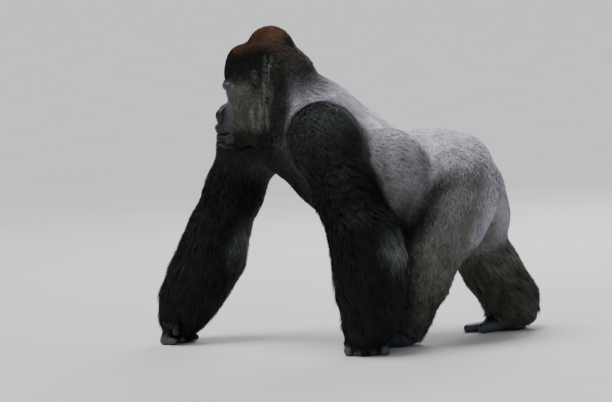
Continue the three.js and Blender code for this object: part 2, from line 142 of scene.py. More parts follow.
def blob(zone, centre, radii, turned=(0, 0, 0), blend=45.0, lie=LIE, coat=None, cut=False):
    """An ellipsoid."""
    r = rotation(*turned).astype(np.float32)
    c = np.asarray(centre, dtype=np.float32)
    rx, ry, rz = (np.float32(v) for v in radii)
    half = np.sqrt(((r * np.asarray(radii)) ** 2).sum(axis=1))

    def distance(x, y, z):
        dx, dy, dz = x - c[0], y - c[1], z - c[2]
        qx, qy, qz = (dx * r[0, k] + dy * r[1, k] + dz * r[2, k] for k in range(3))
        near = np.sqrt((qx / rx) ** 2 + (qy / ry) ** 2 + (qz / rz) ** 2)
        slope = np.sqrt((qx / rx**2) ** 2 + (qy / ry**2) ** 2 + (qz / rz**2) ** 2)
        return near * (near - 1.0) / np.maximum(slope, 1e-6)

    return Form(zone, blend, np.asarray(centre) - half, np.asarray(centre) + half, distance, lie, coat, cut)


def taper(zone, a, b, ra, rb, blend, lie=None, coat=None):
    """A round cone between two spheres. Its hair lies along it unless lie says otherwise."""
    a, b = np.asarray(a, dtype=np.float64), np.asarray(b, dtype=np.float64)
    along = b - a
    square = np.float32(along @ along)
    (sx, sy, sz), (ux, uy, uz) = a.astype(np.float32), along.astype(np.float32)

    def distance(x, y, z):
        qx, qy, qz = x - sx, y - sy, z - sz
        t = np.clip((qx * ux + qy * uy + qz * uz) / square, 0.0, 1.0)
        qx, qy, qz = qx - t * ux, qy - t * uy, qz - t * uz
        return np.sqrt(qx * qx + qy * qy + qz * qz) - (ra + (rb - ra) * t)

    widest = max(ra, rb)
    low, high = np.minimum(a, b) - widest, np.maximum(a, b) + widest
    return Form(zone, blend, low, high, distance, along if lie is None else lie, coat)


def limb(zone, points, radii, blend, lie=None):
    """Tapers of one zone from point to point."""
    return [taper(zone, *ends, *widths, blend, lie)
            for ends, widths in zip(zip(points, points[1:]), zip(radii, radii[1:]))]


FAR = np.float32(300.0)  # more than any form reaches, in mm
SEAM, FLOOR_BLEND = 12.0, 3.0  # widths of blending where chains meet, and at the floor


def smooth_min(a, b, k):
    h = np.maximum(k - np.abs(a - b), 0.0) / k
    return np.minimum(a, b) - h * h * k / 4.0


def unite(d, w, e, v, blend):
    """The smooth union of two distances, and of their traits where they have any."""
    if w is not None:
        share = np.clip(0.5 + 0.5 * (d - e) / blend, 0.0, 1.0)[:, None]
        w = w + share * (v - w)
    return smooth_min(d, e, blend), w


def sample(chain, p, traits):
    """Signed distance at points p (n, 3) of a chain's forms, joined smoothly in turn, and their traits."""
    x, y, z = p[:, 0], p[:, 1], p[:, 2]
    d = np.full(len(p), FAR, dtype=np.float32)
    w = np.zeros((len(p), len(ZONES) + 3), dtype=np.float32) if traits else None
    for form in chain:
        (i,) = np.nonzero((x > form.low[0]) & (x < form.high[0]) & (y > form.low[1]) & (y < form.high[1])
                          & (z > form.low[2]) & (z < form.high[2]))
        if not len(i):
            continue
        away = form.distance(x[i], y[i], z[i])
        if form.cut:
            d[i] = -smooth_min(-d[i], away, form.blend)
        elif traits:
            d[i], w[i] = unite(d[i], w[i], away + form.coat, form.traits, form.blend)
        else:
            d[i] = smooth_min(d[i], away + form.coat, form.blend)
    return d, w


def join(chains, p, traits=False):
    """The union of chains, with a narrow blend where they meet, and nothing below the floor."""
    p = np.ascontiguousarray(p, dtype=np.float32)
    d, w = sample(chains[0], p, traits)
    for chain in chains[1:]:
        d, w = unite(d, w, *sample(chain, p, traits), SEAM)
    d = -smooth_min(-d, p[:, 2], FLOOR_BLEND)
    return (d, w) if traits else d


# --- trunk and neck
BACKWARD = (1.0, 0.0, -0.25)
TRUNK = [
    blob("back", (158, 0, 640), (272, 232, 200), (-8, 34, 0), 60, (1, 0, -0.6)),
    blob("back", (50, 0, 735), (180, 200, 140), (-10, 28, 0), 60, (1, 0, -0.4)),
    blob("back", (205, 0, 700), (200, 190, 120), (-6, 38, 0), 50, BACKWARD),
    blob("breast", (-45, 10, 712), (115, 180, 98), (-15, 20, 0), 50, (0.3, 0, -1)),
    taper("shoulder", (10, 105, 735), (-115, 165, 745), 118, 106, 60, (-0.5, 0.1, -1)),
    blob("belly", (325, 0, 488), (175, 195, 135), (0, 10, 0), 60, (1, 0, -0.3)),
    blob("flank", (285, -150, 600), (155, 124, 180), (0, 15, 0), 28, (1, 0, -0.7)),
    blob("flank", (265, 150, 600), (155, 121, 175), (0, 15, 0), 28, (1, 0, -0.7)),
    blob("back", (446, 0, 638), (192, 132, 122), (0, 4, 0), 52, (1, 0, -0.3)),
    blob("rump", (546, 0, 602), (130, 170, 134), (0, 8, 0), 50, (1, 0, -0.6)),
    blob("rump", (575, -92, 540), (105, 105, 140), (0, 0, 0), 50, (0.7, 0, -1)),
    blob("rump", (598, 88, 468), (106, 100, 140), (0, 0, 0), 50, (0.7, 0, -1)),
]
NECK = [
    taper("neck", (46, 0, 794), (-105, 0, 886), 167, 130, 60, (1, 0, -0.5)),
    taper("neck", (20, 0, 745), (-130, 0, 840), 130, 100, 50, (0.6, 0, -1)),
    blob("nape", (24, 0, 882), (88, 108, 88), (0, 30, 0), 50, (1, 0, -0.7)),
]

# --- head
# Head forms are placed by distances forward of, left of and above the head's centre.
HEAD_AT, HEAD_YAW = vec(-134, 0, 922), 20.0
HEAD_TURN = rotation(180 - HEAD_YAW)
EYE_PLACE, EYE_RADIUS = vec(112, 33, -6), 13.0
EAR_PLACE, EAR_TURN = vec(-16, 102, 50), (30.0, 8, 0)


def on_head(place, s=1):
    """A place given from the head's centre, or its mirror image where s is -1."""
    ahead, left, above = place
    return HEAD_TURN @ vec(ahead, s * left, above) + HEAD_AT


def head_places(p):
    """Points as distances forward, left and up from the head's centre."""
    return (np.asarray(p, dtype=np.float64) - HEAD_AT) @ HEAD_TURN


def sides_of(place):
    """Both sides for a place to the left of the head's middle, and one for a place in it."""
    return (1, -1) if place[1] else (1,)


def head_blob(zone, place, radii, blend, turned=(0, 0, 0), coat=None, cut=False):
    """A blob of the head, with its mirror image where it stands to one side."""
    yaw, pitch, roll = turned
    return [blob(zone, on_head(place, s), radii, (180 - HEAD_YAW + s * yaw, pitch, s * roll), blend,
                 coat=coat, cut=cut) for s in sides_of(place)]


def head_taper(zone, a, b, ra, rb, blend):
    return [taper(zone, on_head(a, s), on_head(b, s), ra, rb, blend, LIE) for s in sides_of(a)]


HEAD = [
    *head_blob("crown", (-20, 0, 60), (120, 92, 100), 40),
    *head_blob("crown", (-38, 0, 147), (91, 54, 86), 40),
    *head_blob("crown", (-26, 38, 100), (85, 50, 80), 40),
    *head_blob("crown", (70, 0, 90), (62, 68, 76), 35, coat=6.0),
    *head_blob("nape", (-104, 0, 64), (92, 92, 80), 50),
    *head_blob("crown", (84, 0, 60), (50, 58, 38), 25, coat=6.0),
    *head_blob("face", (123, 0, 26), (24, 46, 20), 20),
    *head_blob("face", (106, 48, 24), (27, 34, 21), 20),
    *head_blob("face", (72, 64, -20), (38, 36, 36), 30),
    *head_blob("face", (88, 38, -54), (38, 28, 40), 22),
    *head_taper("face", (96, 0, 2), (122, 0, -46), 17, 19, 18),
    *head_blob("face", (102, 0, -112), (74, 58, 62), 30),
    *head_blob("face", (146, 0, -66), (24, 27, 24), 12),
    *head_blob("face", (160, 0, -88), (22, 20, 22), 14),
    *head_blob("face", (150, 26, -84), (26, 22, 28), 12),
    *head_blob("face", (159, 0, -128), (28, 46, 21), 14),
    *head_blob("face", (152, 0, -147), (28, 44, 20), 10),
    *head_blob("face", (156, 0, -164), (28, 42, 17), 12),
    *head_blob("face", (134, 0, -184), (42, 38, 24), 20),
    *head_taper("cheek", (98, 30, -168), (-30, 66, -80), 40, 52, 30),
    *head_blob("cheek", (10, 62, -40), (80, 46, 95), 35),
    *head_blob("cheek", (-20, 0, -130), (110, 70, 70), 50),
]


SOCKETS = head_blob("face", (134, 35, -9), (18, 21, 12), 12, cut=True)
LIDS = head_blob("face", EYE_PLACE - vec(1, 0, 0), (EYE_RADIUS + 3.4,) * 3, 5, coat=0.0)
LID_OPENINGS = head_blob("face", EYE_PLACE + vec(15, 1, -1.5), (17, 12.5, 5.4), 2, (10, 0, -7), cut=True)
NOSTRILS = head_blob("face", (172, 20, -96), (19, 12.5, 9), 5, (18, 12, 24), cut=True)
EARS = head_blob("ear", EAR_PLACE, (21, 9, 29), 5, EAR_TURN)
EAR_HOLLOWS = head_blob("ear", EAR_PLACE + vec(4, 9, 2), (14, 8, 21), 4, EAR_TURN, cut=True)


# --- arms and hands
def heading(degrees):
    return vec(math.cos(math.radians(degrees)), math.sin(math.radians(degrees)), 0)


ARM = {
    "left": dict(shoulder=vec(70, -207, 762), elbow=vec(192, -314, 425), wrist=vec(207, -308, 140),
                 knuckle=vec(190, -310, 88), back=-104, sag=12, cuff_end=72,
                 top=114, upper=112, mid=127, fore=131, lower=125, cuff=106, hand=82),
    "right": dict(shoulder=vec(-170, 198, 752), elbow=vec(-322, 262, 412), wrist=vec(-456, 256, 145),
                  knuckle=vec(-484, 254, 88), back=140, sag=15, cuff_end=84,
                  top=112, upper=103, mid=115, fore=127, lower=120, cuff=112, hand=84),
}
SPACING, LEAN, KNUCKLE, ROOT, MIDDLE_BONE, TIP, FOLDED = 41, 24, 28, 19, 18, 14, 46


def arm_forms(side):
    a = ARM[side]
    upper = lambda share: mix(a["shoulder"], a["elbow"], share)
    fore = lambda share: mix(a["elbow"], a["wrist"], share) + vec(1.5 * a["sag"] * (1 - share), 0, 0)
    down = unit(a["elbow"] - a["shoulder"]) + vec(0.35, 0, 0)
    sweep = unit(a["wrist"] - a["elbow"]) + vec(0.38, 0, 0)
    return (
        [
            blob("shoulder", upper(0.04), (134, 118, 139), (0, 0, 0), 60, down),
            taper("upperarm", upper(0.2), upper(0.6), a["top"], a["upper"], 50, down),
            taper("upperarm", upper(0.6), a["elbow"], a["upper"], a["mid"], 50, down, 22.0),
        ],
        limb("forearm", [a["elbow"], fore(0.35), fore(0.7), a["wrist"]],
             [a["mid"], a["fore"], a["lower"], a["cuff"]], 40, sweep),
        [taper("wrist", a["wrist"], a["knuckle"], a["cuff"] - 8, a["hand"], 30, sweep, 26.0)],
    )


def hand_forms(side):
    a = ARM[side]
    out = heading(a["back"])
    row = heading(a["back"] + (90 if side == "left" else -90))
    at = lambda along, outward, z: vec(*a["knuckle"][:2], 0) + row * along + out * outward + vec(0, 0, z)
    palm = [taper("wrist", a["wrist"], at(along, -6, a["cuff_end"]), a["cuff"] - 3, a["hand"] - 12, 30,
                  coat=26.0) for along in (-16, 16)]
    fingers = []
    for i, step in enumerate([-1.5, -0.5, 0.5, 1.5]):
        size = [0.98, 1.05, 1.02, 0.9][i]
        along = SPACING * step
        knuckle_at = at(along, -4, a["knuckle"][2])
        bend = at(along * 1.04, LEAN, (MIDDLE_BONE - 1.5) * size)
        fold = at(along, LEAN - FOLDED * size, TIP * size + 1)
        palm.append(taper("finger", a["wrist"] + row * along * 0.5, knuckle_at, 44, KNUCKLE, 26))
        radii = [ROOT * size, MIDDLE_BONE * size, TIP * size]
        fingers.append(limb("finger", [knuckle_at, bend, fold], radii, 8))
    thumb = [taper("finger", at(-58, -30, 104), at(-74, -42, 50), 20, 14, 10)]
    return palm, fingers, thumb


# --- legs and feet
LEG = {
    "left": dict(hip=vec(545, -118, 540), knee=vec(430, -176, 325), ankle=vec(352, -132, 105),
                 foot=vec(326, -132, 0), heading=184, heel=0, thigh=134, mid=102, calf=97, cuff=78),
    "right": dict(hip=vec(582, 112, 515), knee=vec(612, 175, 315), ankle=vec(724, 150, 112),
                  foot=vec(768, 150, 0), heading=176, heel=14, thigh=132, mid=104, calf=106, cuff=108),
}
FOOT_BACK, BALL, TOES, BREADTH = 12, 118, 205, 98
TOE_ENDS = dict(left=[], right=[])  # centre and radius of each toe's end, and the way it points


def leg_forms(side):
    g = LEG[side]
    thigh = mix(g["hip"], g["knee"], 0.5)
    down = unit(g["knee"] - g["hip"]) + vec(0.5, 0, 0)
    lower = unit(g["ankle"] - g["knee"]) + vec(0.25, 0, 0)
    return (
        [
            taper("rump", g["hip"], thigh, g["thigh"] + 8, g["thigh"], 50, down),
            taper("thigh", thigh, g["knee"], g["thigh"], g["mid"], 50, down),
        ],
        limb("shank", [g["knee"], mix(g["knee"], g["ankle"], 0.4), g["ankle"]],
             [g["mid"], g["calf"], g["cuff"]], 40, lower),
        [taper("shank", g["ankle"], g["ankle"] - vec(0, 0, 50), g["cuff"] - 2, g["cuff"] - 20, 30, lower,
               26.0)],
    )


def foot_forms(side):
    g = LEG[side]
    front = heading(g["heading"])
    inward = heading(g["heading"] + (-90 if side == "left" else 90))
    lift = lambda along: g["heel"] * min(max((BALL - along) / (BALL + FOOT_BACK), 0.0), 1.0)
    at = lambda along, across, z: g["foot"] + front * along + inward * across + vec(0, 0, z + lift(along))
    sole = [
        taper("shank", g["ankle"], at(10, 0, 48), g["cuff"] - 4, 46, 30, coat=22.0),
        taper("foot", at(-FOOT_BACK, 0, 37), at(25, 0, 42), 40, 40, 24),
        taper("foot", at(20, 2, 46), at(BALL - 20, 4, 34), 42, 32, 30, coat=6.0),
        taper("foot", at(20, -22, 31), at(BALL, -30, 23), 32, 24, 26),
        taper("foot", at(BALL - 15, -BREADTH * 0.25, 25), at(BALL - 5, BREADTH * 0.22, 26), 26, 27, 26),
        taper("foot", at(30, 14, 34), at(BALL - 40, 40, 27), 30, 27, 26),
    ]
    toes = []
    for i, share in enumerate([0.33, 0.07, -0.19, -0.43]):
        end, size = at(TOES - [0, 1, 9, 22][i], BREADTH * share * 1.1, 12.5 - 0.7 * i), 13.5 - 0.8 * i
        toes.append(taper("foot", at(BALL - 4 * i, BREADTH * share * 0.92, 22), end, 13.5 - 0.5 * i, size, 6,
                          coat=0.5))
        TOE_ENDS[side].append((end, size, front))
    end = at(BALL + 30, 74, 17.5)
    toes.append(taper("foot", at(BALL - 42, 40, 25), end, 24, 18.5, 8, coat=0.5))
    TOE_ENDS[side].append((end, 18.5, unit(front + 0.4 * inward)))
    return sole, toes


SIDES = ["left", "right"]
ARMS, HANDS = {s: arm_forms(s) for s in SIDES}, {s: hand_forms(s) for s in SIDES}
LEGS, FEET = {s: leg_forms(s) for s in SIDES}, {s: foot_forms(s) for s in SIDES}

limb_roots = [form for s in SIDES for form in ARMS[s][0] + LEGS[s][0]]
BODY = [TRUNK + NECK + HEAD + limb_roots + SOCKETS + LIDS + LID_OPENINGS + NOSTRILS + EARS + EAR_HOLLOWS]
for s in SIDES:
    (palm, fingers, thumb), (sole, toes) = HANDS[s], FEET[s]
    BODY += [ARMS[s][0][1:] + ARMS[s][1] + ARMS[s][2], palm + thumb, *fingers,
             LEGS[s][0][1:] + LEGS[s][1] + LEGS[s][2], sole, *([toe] for toe in toes)]

# --- skin
COARSE = 9.0  # mm between points of the first grid
BAND = 1.7 * COARSE  # mm from the skin, within which the finer grid is exact


def field_grid():
    """The skin's field on a grid of half the coarse step, exact near the surface."""
    low, high = vec(-600, -500, -30), vec(890, 450, 1190)
    count = np.ceil((high - low) / COARSE).astype(int) + 1
    axes = [low[i] + COARSE * np.arange(count[i]) for i in range(3)]
    x, y, z = np.meshgrid(*axes, indexing="ij")
    coarse = join(BODY, np.stack([x.ravel(), y.ravel(), z.ravel()], axis=1)).reshape(count)
    wide = coarse
    for axis in range(3):  # linear interpolation to half the step
        wide = np.moveaxis(wide, axis, 0)
        doubled = np.empty((2 * len(wide) - 1, *wide.shape[1:]), dtype=np.float32)
        doubled[::2], doubled[1::2] = wide, (wide[:-1] + wide[1:]) / 2
        wide = np.moveaxis(doubled, 0, axis)
    band = np.argwhere(np.abs(wide) < BAND)
    points = low + band * (COARSE / 2)
    wide[tuple(band.T)] = join(BODY, points)
    return wide, low, COARSE / 2


def surface_nets(values, low, step):
    """Quads round the zero surface of a grid of values."""
    inside = values < 0
    n = [s - 1 for s in values.shape]
    corners = [(i, j, k) for i in (0, 1) for j in (0, 1) for k in (0, 1)]
    count = np.zeros(n, dtype=np.int8)
    for i, j, k in corners:
        count += inside[i:n[0] + i, j:n[1] + j, k:n[2] + k]
    mixed = (count > 0) & (count < 8)
    cells = np.argwhere(mixed)
    number = np.full(n, -1, dtype=np.int32)
    number[mixed] = np.arange(len(cells))
    at_corner = {c: values[tuple((cells + c).T)] for c in corners}
    total, hits = np.zeros((len(cells), 3)), np.zeros(len(cells))
    for a, axis in ((a, axis) for a in corners for axis in range(3) if not a[axis]):
        va, vb = at_corner[a], at_corner[a[:axis] + (1,) + a[axis + 1:]]
        crossing = (va < 0) != (vb < 0)
        place = np.tile(np.array(a, dtype=np.float64), (crossing.sum(), 1))
        place[:, axis] = va[crossing] / (va[crossing] - vb[crossing])
        total[crossing] += place
        hits[crossing] += 1
    points = low + step * (cells + total / hits[:, None])
    quads = []
    for axis, (u, v) in enumerate([(1, 2), (2, 0), (0, 1)]):
        edges = np.argwhere(np.diff(inside, axis=axis))
        edges = edges[(edges[:, u] > 0) & (edges[:, v] > 0) & (edges[:, u] < n[u]) & (edges[:, v] < n[v])]
        steps = np.zeros((4, 3), dtype=int)
        steps[:, [u, v]] = [(1, 1), (0, 1), (0, 0), (1, 0)]
        quad = np.stack([number[tuple((edges - step).T)] for step in steps], axis=1)
        outward = inside[tuple(edges.T)]
        quad[~outward] = quad[~outward][:, ::-1]
        quads.append(quad)
    return points, np.concatenate(quads)


def slope(p):
    """Distance and outward direction of the field at points."""
    reach = 0.8  # mm
    corners = np.array([(1, 1, 1), (1, -1, -1), (-1, 1, -1), (-1, -1, 1)], dtype=np.float64)
    values = [join(BODY, p + c * reach) for c in corners]
    gradient = sum(v[:, None] * c for v, c in zip(values, corners)) / (4 * reach)
    return sum(values) / 4, gradient


def settle(p, rounds, most=3.0):
    """Moves points onto the skin along the field's slope."""
    p = p.copy()
    for _ in range(rounds):
        d, g = slope(p)
        move = -g * (d / np.maximum((g * g).sum(axis=1), 0.15))[:, None]
        far = np.linalg.norm(move, axis=1, keepdims=True)
        p += move * np.minimum(1.0, most / np.maximum(far, 1e-9))
    return p


def mesh_object(name, points, faces):
    """A mesh object from points in drawing millimetres and an array of triangles or quads."""
    data = bpy.data.meshes.new(name)
    faces = np.asarray(faces, dtype=np.int32)
    sides = faces.shape[1]
    data.vertices.add(len(points))
    data.vertices.foreach_set("co", in_row(points).astype(np.float32).ravel())
    data.loops.add(faces.size)
    data.loops.foreach_set("vertex_index", faces.ravel())
    data.polygons.add(len(faces))
    data.polygons.foreach_set("loop_start", np.arange(0, faces.size, sides, dtype=np.int32))
    data.polygons.foreach_set("use_smooth", np.ones(len(faces), dtype=bool))
    data.update(calc_edges=True)
    made = bpy.data.objects.new(name, data)
    bpy.context.scene.collection.objects.link(made)
    return made


field_values, field_low, field_step = field_grid()


def probe(p):
    """Distance from the skin and outward direction, from the grid of the field."""
    q = (p - field_low) / field_step
    i = np.clip(np.floor(q).astype(int), 0, np.array(field_values.shape) - 2)
    (x, y, z), (tx, ty, tz) = i.T, np.clip(q - i, 0.0, 1.0).T
    c = np.array([[[field_values[x + a, y + b, z + e] for e in (0, 1)] for b in (0, 1)] for a in (0, 1)])
    edge, rise = mix(c[:, :, 0], c[:, :, 1], tz), c[:, :, 1] - c[:, :, 0]
    side = mix(edge[:, 0], edge[:, 1], ty)
    g = np.stack([side[1] - side[0], mix(*(edge[:, 1] - edge[:, 0]), tx),
                  mix(*mix(rise[:, 0], rise[:, 1], ty), tx)], axis=1) / field_step
    steep = np.maximum(np.linalg.norm(g, axis=1), 0.3)
    return mix(*side, tx) / steep, g / steep[:, None]


def largest_part(points, triangles):
    """The points and triangles of the largest connected part."""
    part, before = np.arange(len(points)), None
    while before is None or (part != before).any():
        before = part.copy()
        np.minimum.at(part, triangles.ravel(), np.repeat(part[triangles].min(axis=1), 3))
        part = part[part]
    keep = part == np.bincount(part).argmax()
    number = np.cumsum(keep) - 1
    return points[keep], number[triangles[keep[triangles[:, 0]]]].astype(np.int32)


SKIN_TRIANGLES = 62000  # before the face and ears are made finer


def thinned_skin():
    """The whole skin, coarse under the coat and left as it is on the face, ears and digits."""
    points, quads = surface_nets(field_values, field_low, field_step)
    points = settle(points, 2)
    made = mesh_object("skin", points, quads)
    head = head_places(points)
    fine = ramp(head[:, 0], 40, 70) * ramp(points[:, 2], 690, 720) * (points[:, 0] < -150)
    digits = 0.6 * (1 - ramp(points[:, 2], 70, 110))
    group = made.vertex_groups.new(name="coarse")
    weight = np.clip(1.0 - np.maximum(np.maximum(fine, near_ear(head, 8)), digits), 0.0, 1.0)
    for level in np.unique(np.round(weight, 1)):
        group.add(np.nonzero(np.round(weight, 1) == level)[0].tolist(), float(level), "REPLACE")
    thin = made.modifiers.new("thin", "DECIMATE")
    thin.ratio = SKIN_TRIANGLES / (2.0 * len(quads))
    thin.vertex_group = "coarse"
    thin.vertex_group_factor = 1.0
    bpy.context.view_layer.objects.active = made
    made.select_set(True)
    bpy.ops.object.modifier_apply(modifier="thin")
    points, triangles = largest_part(*mesh_arrays(made))
    bpy.data.meshes.remove(made.data)
    return points, triangles


def near_ear(head, more):
    """True near an ear, for places from the head's centre."""
    across = np.abs(np.abs(head[:, 1]) - EAR_PLACE[1]) < 18 + more
    along, up = (np.abs(head[:, i] - EAR_PLACE[i]) for i in (0, 2))
    return across & (along < 26 + more) & (up < 32 + more)


def refine(points, triangles, chosen):
    """Splits the chosen triangles in four and their neighbours to fit, with the number of old points."""
    old = len(points)
    edges = np.sort(triangles[:, [0, 1, 1, 2, 2, 0]].reshape(-1, 3, 2), axis=2).astype(np.int64)
    key = edges[..., 0] * old + edges[..., 1]
    split = np.unique(key[chosen])
    marked = np.isin(key, split)
    number = old + np.searchsorted(split, key)
    points = np.concatenate([points, (points[split // old] + points[split % old]) / 2])
    count = marked.sum(axis=1)
    made = [triangles[count == 0]]
    (a, b, c), (ab, bc, ca) = triangles[count == 3].T, number[count == 3].T
    made += [np.stack(v, axis=1) for v in ((a, ab, ca), (ab, b, bc), (ca, bc, c), (ab, bc, ca))]
    for k in range(3):
        one = (count == 1) & marked[:, k]
        a, b, c = np.roll(triangles[one], -k, axis=1).T
        m = number[one, k]
        made += [np.stack(v, axis=1) for v in ((a, m, c), (m, b, c))]
        two = (count == 2) & ~marked[:, (k + 2) % 3]
        a, b, c = np.roll(triangles[two], -k, axis=1).T
        m, n = number[two, k], number[two, (k + 1) % 3]
        made += [np.stack(v, axis=1) for v in ((m, b, n), (a, m, n), (a, n, c))]
    return points, np.concatenate(made).astype(np.int32), old


TRACE_STEP, DEEPEST = 1.5, 7.5  # mm along a crease, and into the skin
# Creases of the face, on one side: points as distances forward, left and up, then depth and width.
CREASES = [
    ([(186, 0, -145), (180, 24, -147), (164, 43, -150), (140, 57, -149), (120, 62, -143)], 7.0, 3.2),  # mouth
    ([(120, 62, -143), (112, 62, -156), (104, 60, -170)], 2.6, 4.0),  # corner of the mouth
    ([(128, 13, -48), (134, 30, -50), (138, 46, -66), (138, 52, -88), (146, 44, -108), (166, 20, -116),
      (176, 5, -113)], 4.2, 4.0),  # round the wing of the nose
    ([(176, 0, -62), (182, 0, -84), (186, 0, -106)], 1.6, 3.0),  # between the wings
    ([(188, 0, -114), (189, 0, -130)], 1.5, 2.6),  # groove of the upper lip
    ([(134, 54, -72), (124, 66, -96), (112, 72, -124), (100, 74, -146)], 3.0, 5.0),  # fold of the cheek
    ([(122, 22, -25), (120, 35, -29), (114, 50, -24), (104, 60, -12)], 1.8, 3.2),  # under the lower lid
    ([(122, 26, -36), (120, 40, -40), (112, 56, -33), (100, 68, -20)], 2.2, 3.6),  # bag of the eye
    ([(124, 26, -42), (118, 46, -51), (106, 64, -46)], 1.8, 4.0),
    ([(124, 17, 3), (128, 32, 9), (118, 48, 6), (106, 58, -2)], 2.4, 2.8),  # above the upper lid
    ([(112, 56, 2), (98, 72, 4)], 1.6, 2.6),
    ([(110, 58, -6), (96, 76, -8)], 1.6, 2.6),
    ([(108, 58, -13), (94, 76, -20)], 1.4, 2.6),
    ([(146, 8, 40), (143, 9, 22), (130, 10, 6)], 2.0, 3.6),  # between the brows
    ([(150, 24, 41), (142, 44, 40), (124, 66, 34)], 1.5, 3.2),  # along the brow
    ([(120, 0, -4), (120, 12, -8)], 1.6, 2.6),  # across the bridge
    ([(122, 0, -15), (120, 14, -18)], 1.8, 2.8),
    ([(128, 0, -27), (124, 15, -30)], 1.6, 2.8),
    ([(136, 0, -39), (130, 15, -42)], 1.4, 2.8),
    ([(180, 10, -121), (184, 11, -138)], 0.9, 2.0),  # fine folds of the upper lip
    ([(176, 20, -121), (180, 22, -138)], 0.9, 2.0),
    ([(170, 30, -122), (172, 33, -139)], 0.9, 2.0),
    ([(158, 40, -122), (160, 44, -140)], 0.9, 2.2),
    ([(184, 8, -153), (180, 9, -168)], 0.8, 2.0),
    ([(178, 20, -154), (174, 22, -170)], 0.8, 2.0),
    ([(168, 32, -156), (162, 34, -172)], 0.8, 2.2),
    ([(176, 0, -176), (166, 22, -179), (146, 38, -180)], 2.0, 4.0),  # over the chin
    ([(100, 52, -100), (80, 66, -112)], 1.4, 4.0),
    ([(146, 58, -124), (128, 66, -116)], 1.2, 3.5),
    ([(-24, 108, 70), (-15, 113, 62), (-14, 113, 48), (-8, 114, 34)], -2.2, 2.6),  # fold inside the ear
    ([(-10, 112, 56), (-4, 112, 44), (-10, 112, 36)], 2.2, 3.2),
]


def trace(line):
    """Points every TRACE_STEP along a smooth line, set onto the skin."""
    line = np.asarray(line, dtype=np.float64)
    ends = np.concatenate([2 * line[:1] - line[1:2], line, 2 * line[-1:] - line[-2:-1]])
    found = []
    for k in range(len(line) - 1):
        a, b, c, d = ends[k:k + 4]
        t = np.arange(0, 1, TRACE_STEP / max(np.linalg.norm(c - b), TRACE_STEP))[:, None]
        found.append(0.5 * (2 * b + (c - a) * t + (2 * a - 5 * b + 4 * c - d) * t**2
                            + (3 * b - a - 3 * c + d) * t**3))
    places = np.concatenate(found + [line[-1:]])
    return settle(places @ HEAD_TURN.T + HEAD_AT, 4, 6.0)


def crease(p):
    """How far the creases push points of the face in or out, along the skin's slope."""
    push = np.zeros(len(p))
    for line, depth, width in CREASES:
        for s in (1, -1):
            if s < 0 and all(left == 0 for _, left, _ in line):
                continue
            path = trace([(ahead, s * left, above) for ahead, left, above in line])
            low, high = path.min(axis=0) - 4 * width, path.max(axis=0) + 4 * width
            (near,) = np.nonzero(((p > low) & (p < high)).all(axis=1))
            if not len(near):
                continue
            apart = ((p[near][:, None] - path[None]) ** 2).sum(axis=2)
            nearest = apart.argmin(axis=1)
            d = np.sqrt(apart[np.arange(len(near)), nearest])
            end = np.minimum(nearest, len(path) - 1 - nearest) * TRACE_STEP
            fade = np.minimum(1.0, 0.35 + end / (3 * width))
            groove = -np.exp(-(d / width) ** 2) + 0.3 * np.exp(-((d - 2.1 * width) / width) ** 2)
            push[near] += depth * fade * groove
    return np.maximum(push, -DEEPEST)


def make_skin():
    """The skin, finer on the face and ears, and finest round the eyes, nose and mouth, with its creases."""
    points, triangles = thinned_skin()
    for again in (0, 1):
        head = head_places(points[triangles].mean(axis=1))
        ahead, side, above = head[:, 0], np.abs(head[:, 1]), head[:, 2]
        on_face = (ahead > 62) & (above > -205) & (above < 62) & (side < 90)
        if again:
            eyes = (np.abs(above + 7) < 26) & (side > 8) & (side < 58) & (ahead > 98)
            on_face = eyes | ((ahead > 124) & (above > -172) & (above < -56))
        points, triangles, old = refine(points, triangles, on_face | near_ear(head, 0))
        points[old:] = settle(points[old:], 2)
    head = head_places(points)
    face = (head[:, 0] > 55) & (np.abs(head[:, 1]) < 95) & (np.abs(head[:, 2] + 60) < 150)
    (face,) = np.nonzero(face | near_ear(head, 0))
    _, way = slope(points[face])
    _, traits = join(BODY, points[face], True)
    of_head = ramp(zone_share(traits, "face", "cheek", "crown", "ear"), 0.35, 0.7)
    points[face] += unit(way) * (of_head * crease(points[face]))[:, None]
    return mesh_object("skin", points, triangles)


def read(items, name, kind=np.float32):
    """Three numbers from each item of a mesh."""
    found = np.empty(len(items) * 3, dtype=kind)
    items.foreach_get(name, found)
    return found.reshape(-1, 3)


def mesh_arrays(made):
    """Vertices in drawing millimetres, and triangles."""
    made.data.calc_loop_triangles()
    points = read(made.data.vertices, "co").astype(np.float64) * 1000.0 + MIDDLE
    return points, read(made.data.loop_triangles, "vertices", np.int32)


# --- markings, with painted light and shade
SILVER, SILVER_DIM = vec(0.40, 0.383, 0.438), vec(0.205, 0.202, 0.212)
BLACK, CHARCOAL = vec(0.0065, 0.0072, 0.0068), vec(0.020, 0.0225, 0.022)
RUST, CROWN_DARK = vec(0.105, 0.048, 0.026), vec(0.0085, 0.0085, 0.006)
OLIVE, DUN = vec(0.050, 0.053, 0.042), vec(0.030, 0.031, 0.025)
STREAK, SKIN_BLUE, SKIN_DARK = vec(0.16, 0.16, 0.145), vec(0.034, 0.041, 0.048), vec(0.011, 0.013, 0.014)

MARKS = dict(face=OLIVE * 1.1, crown=CROWN_DARK, cheek=DUN * 0.6, nape=DUN, neck=BLACK * 1.5, back=SILVER,
             flank=SILVER_DIM, belly=DUN * 0.3, breast=BLACK * 1.3, rump=SILVER_DIM * 0.66, shoulder=CHARCOAL,
             upperarm=BLACK * 0.7, forearm=BLACK, wrist=BLACK, finger=BLACK, thigh=OLIVE * 1.5,
             shank=OLIVE * 0.85, foot=BLACK, ear=SKIN_DARK)
MARK_TABLE = np.array([MARKS[z] for z in ZONES])


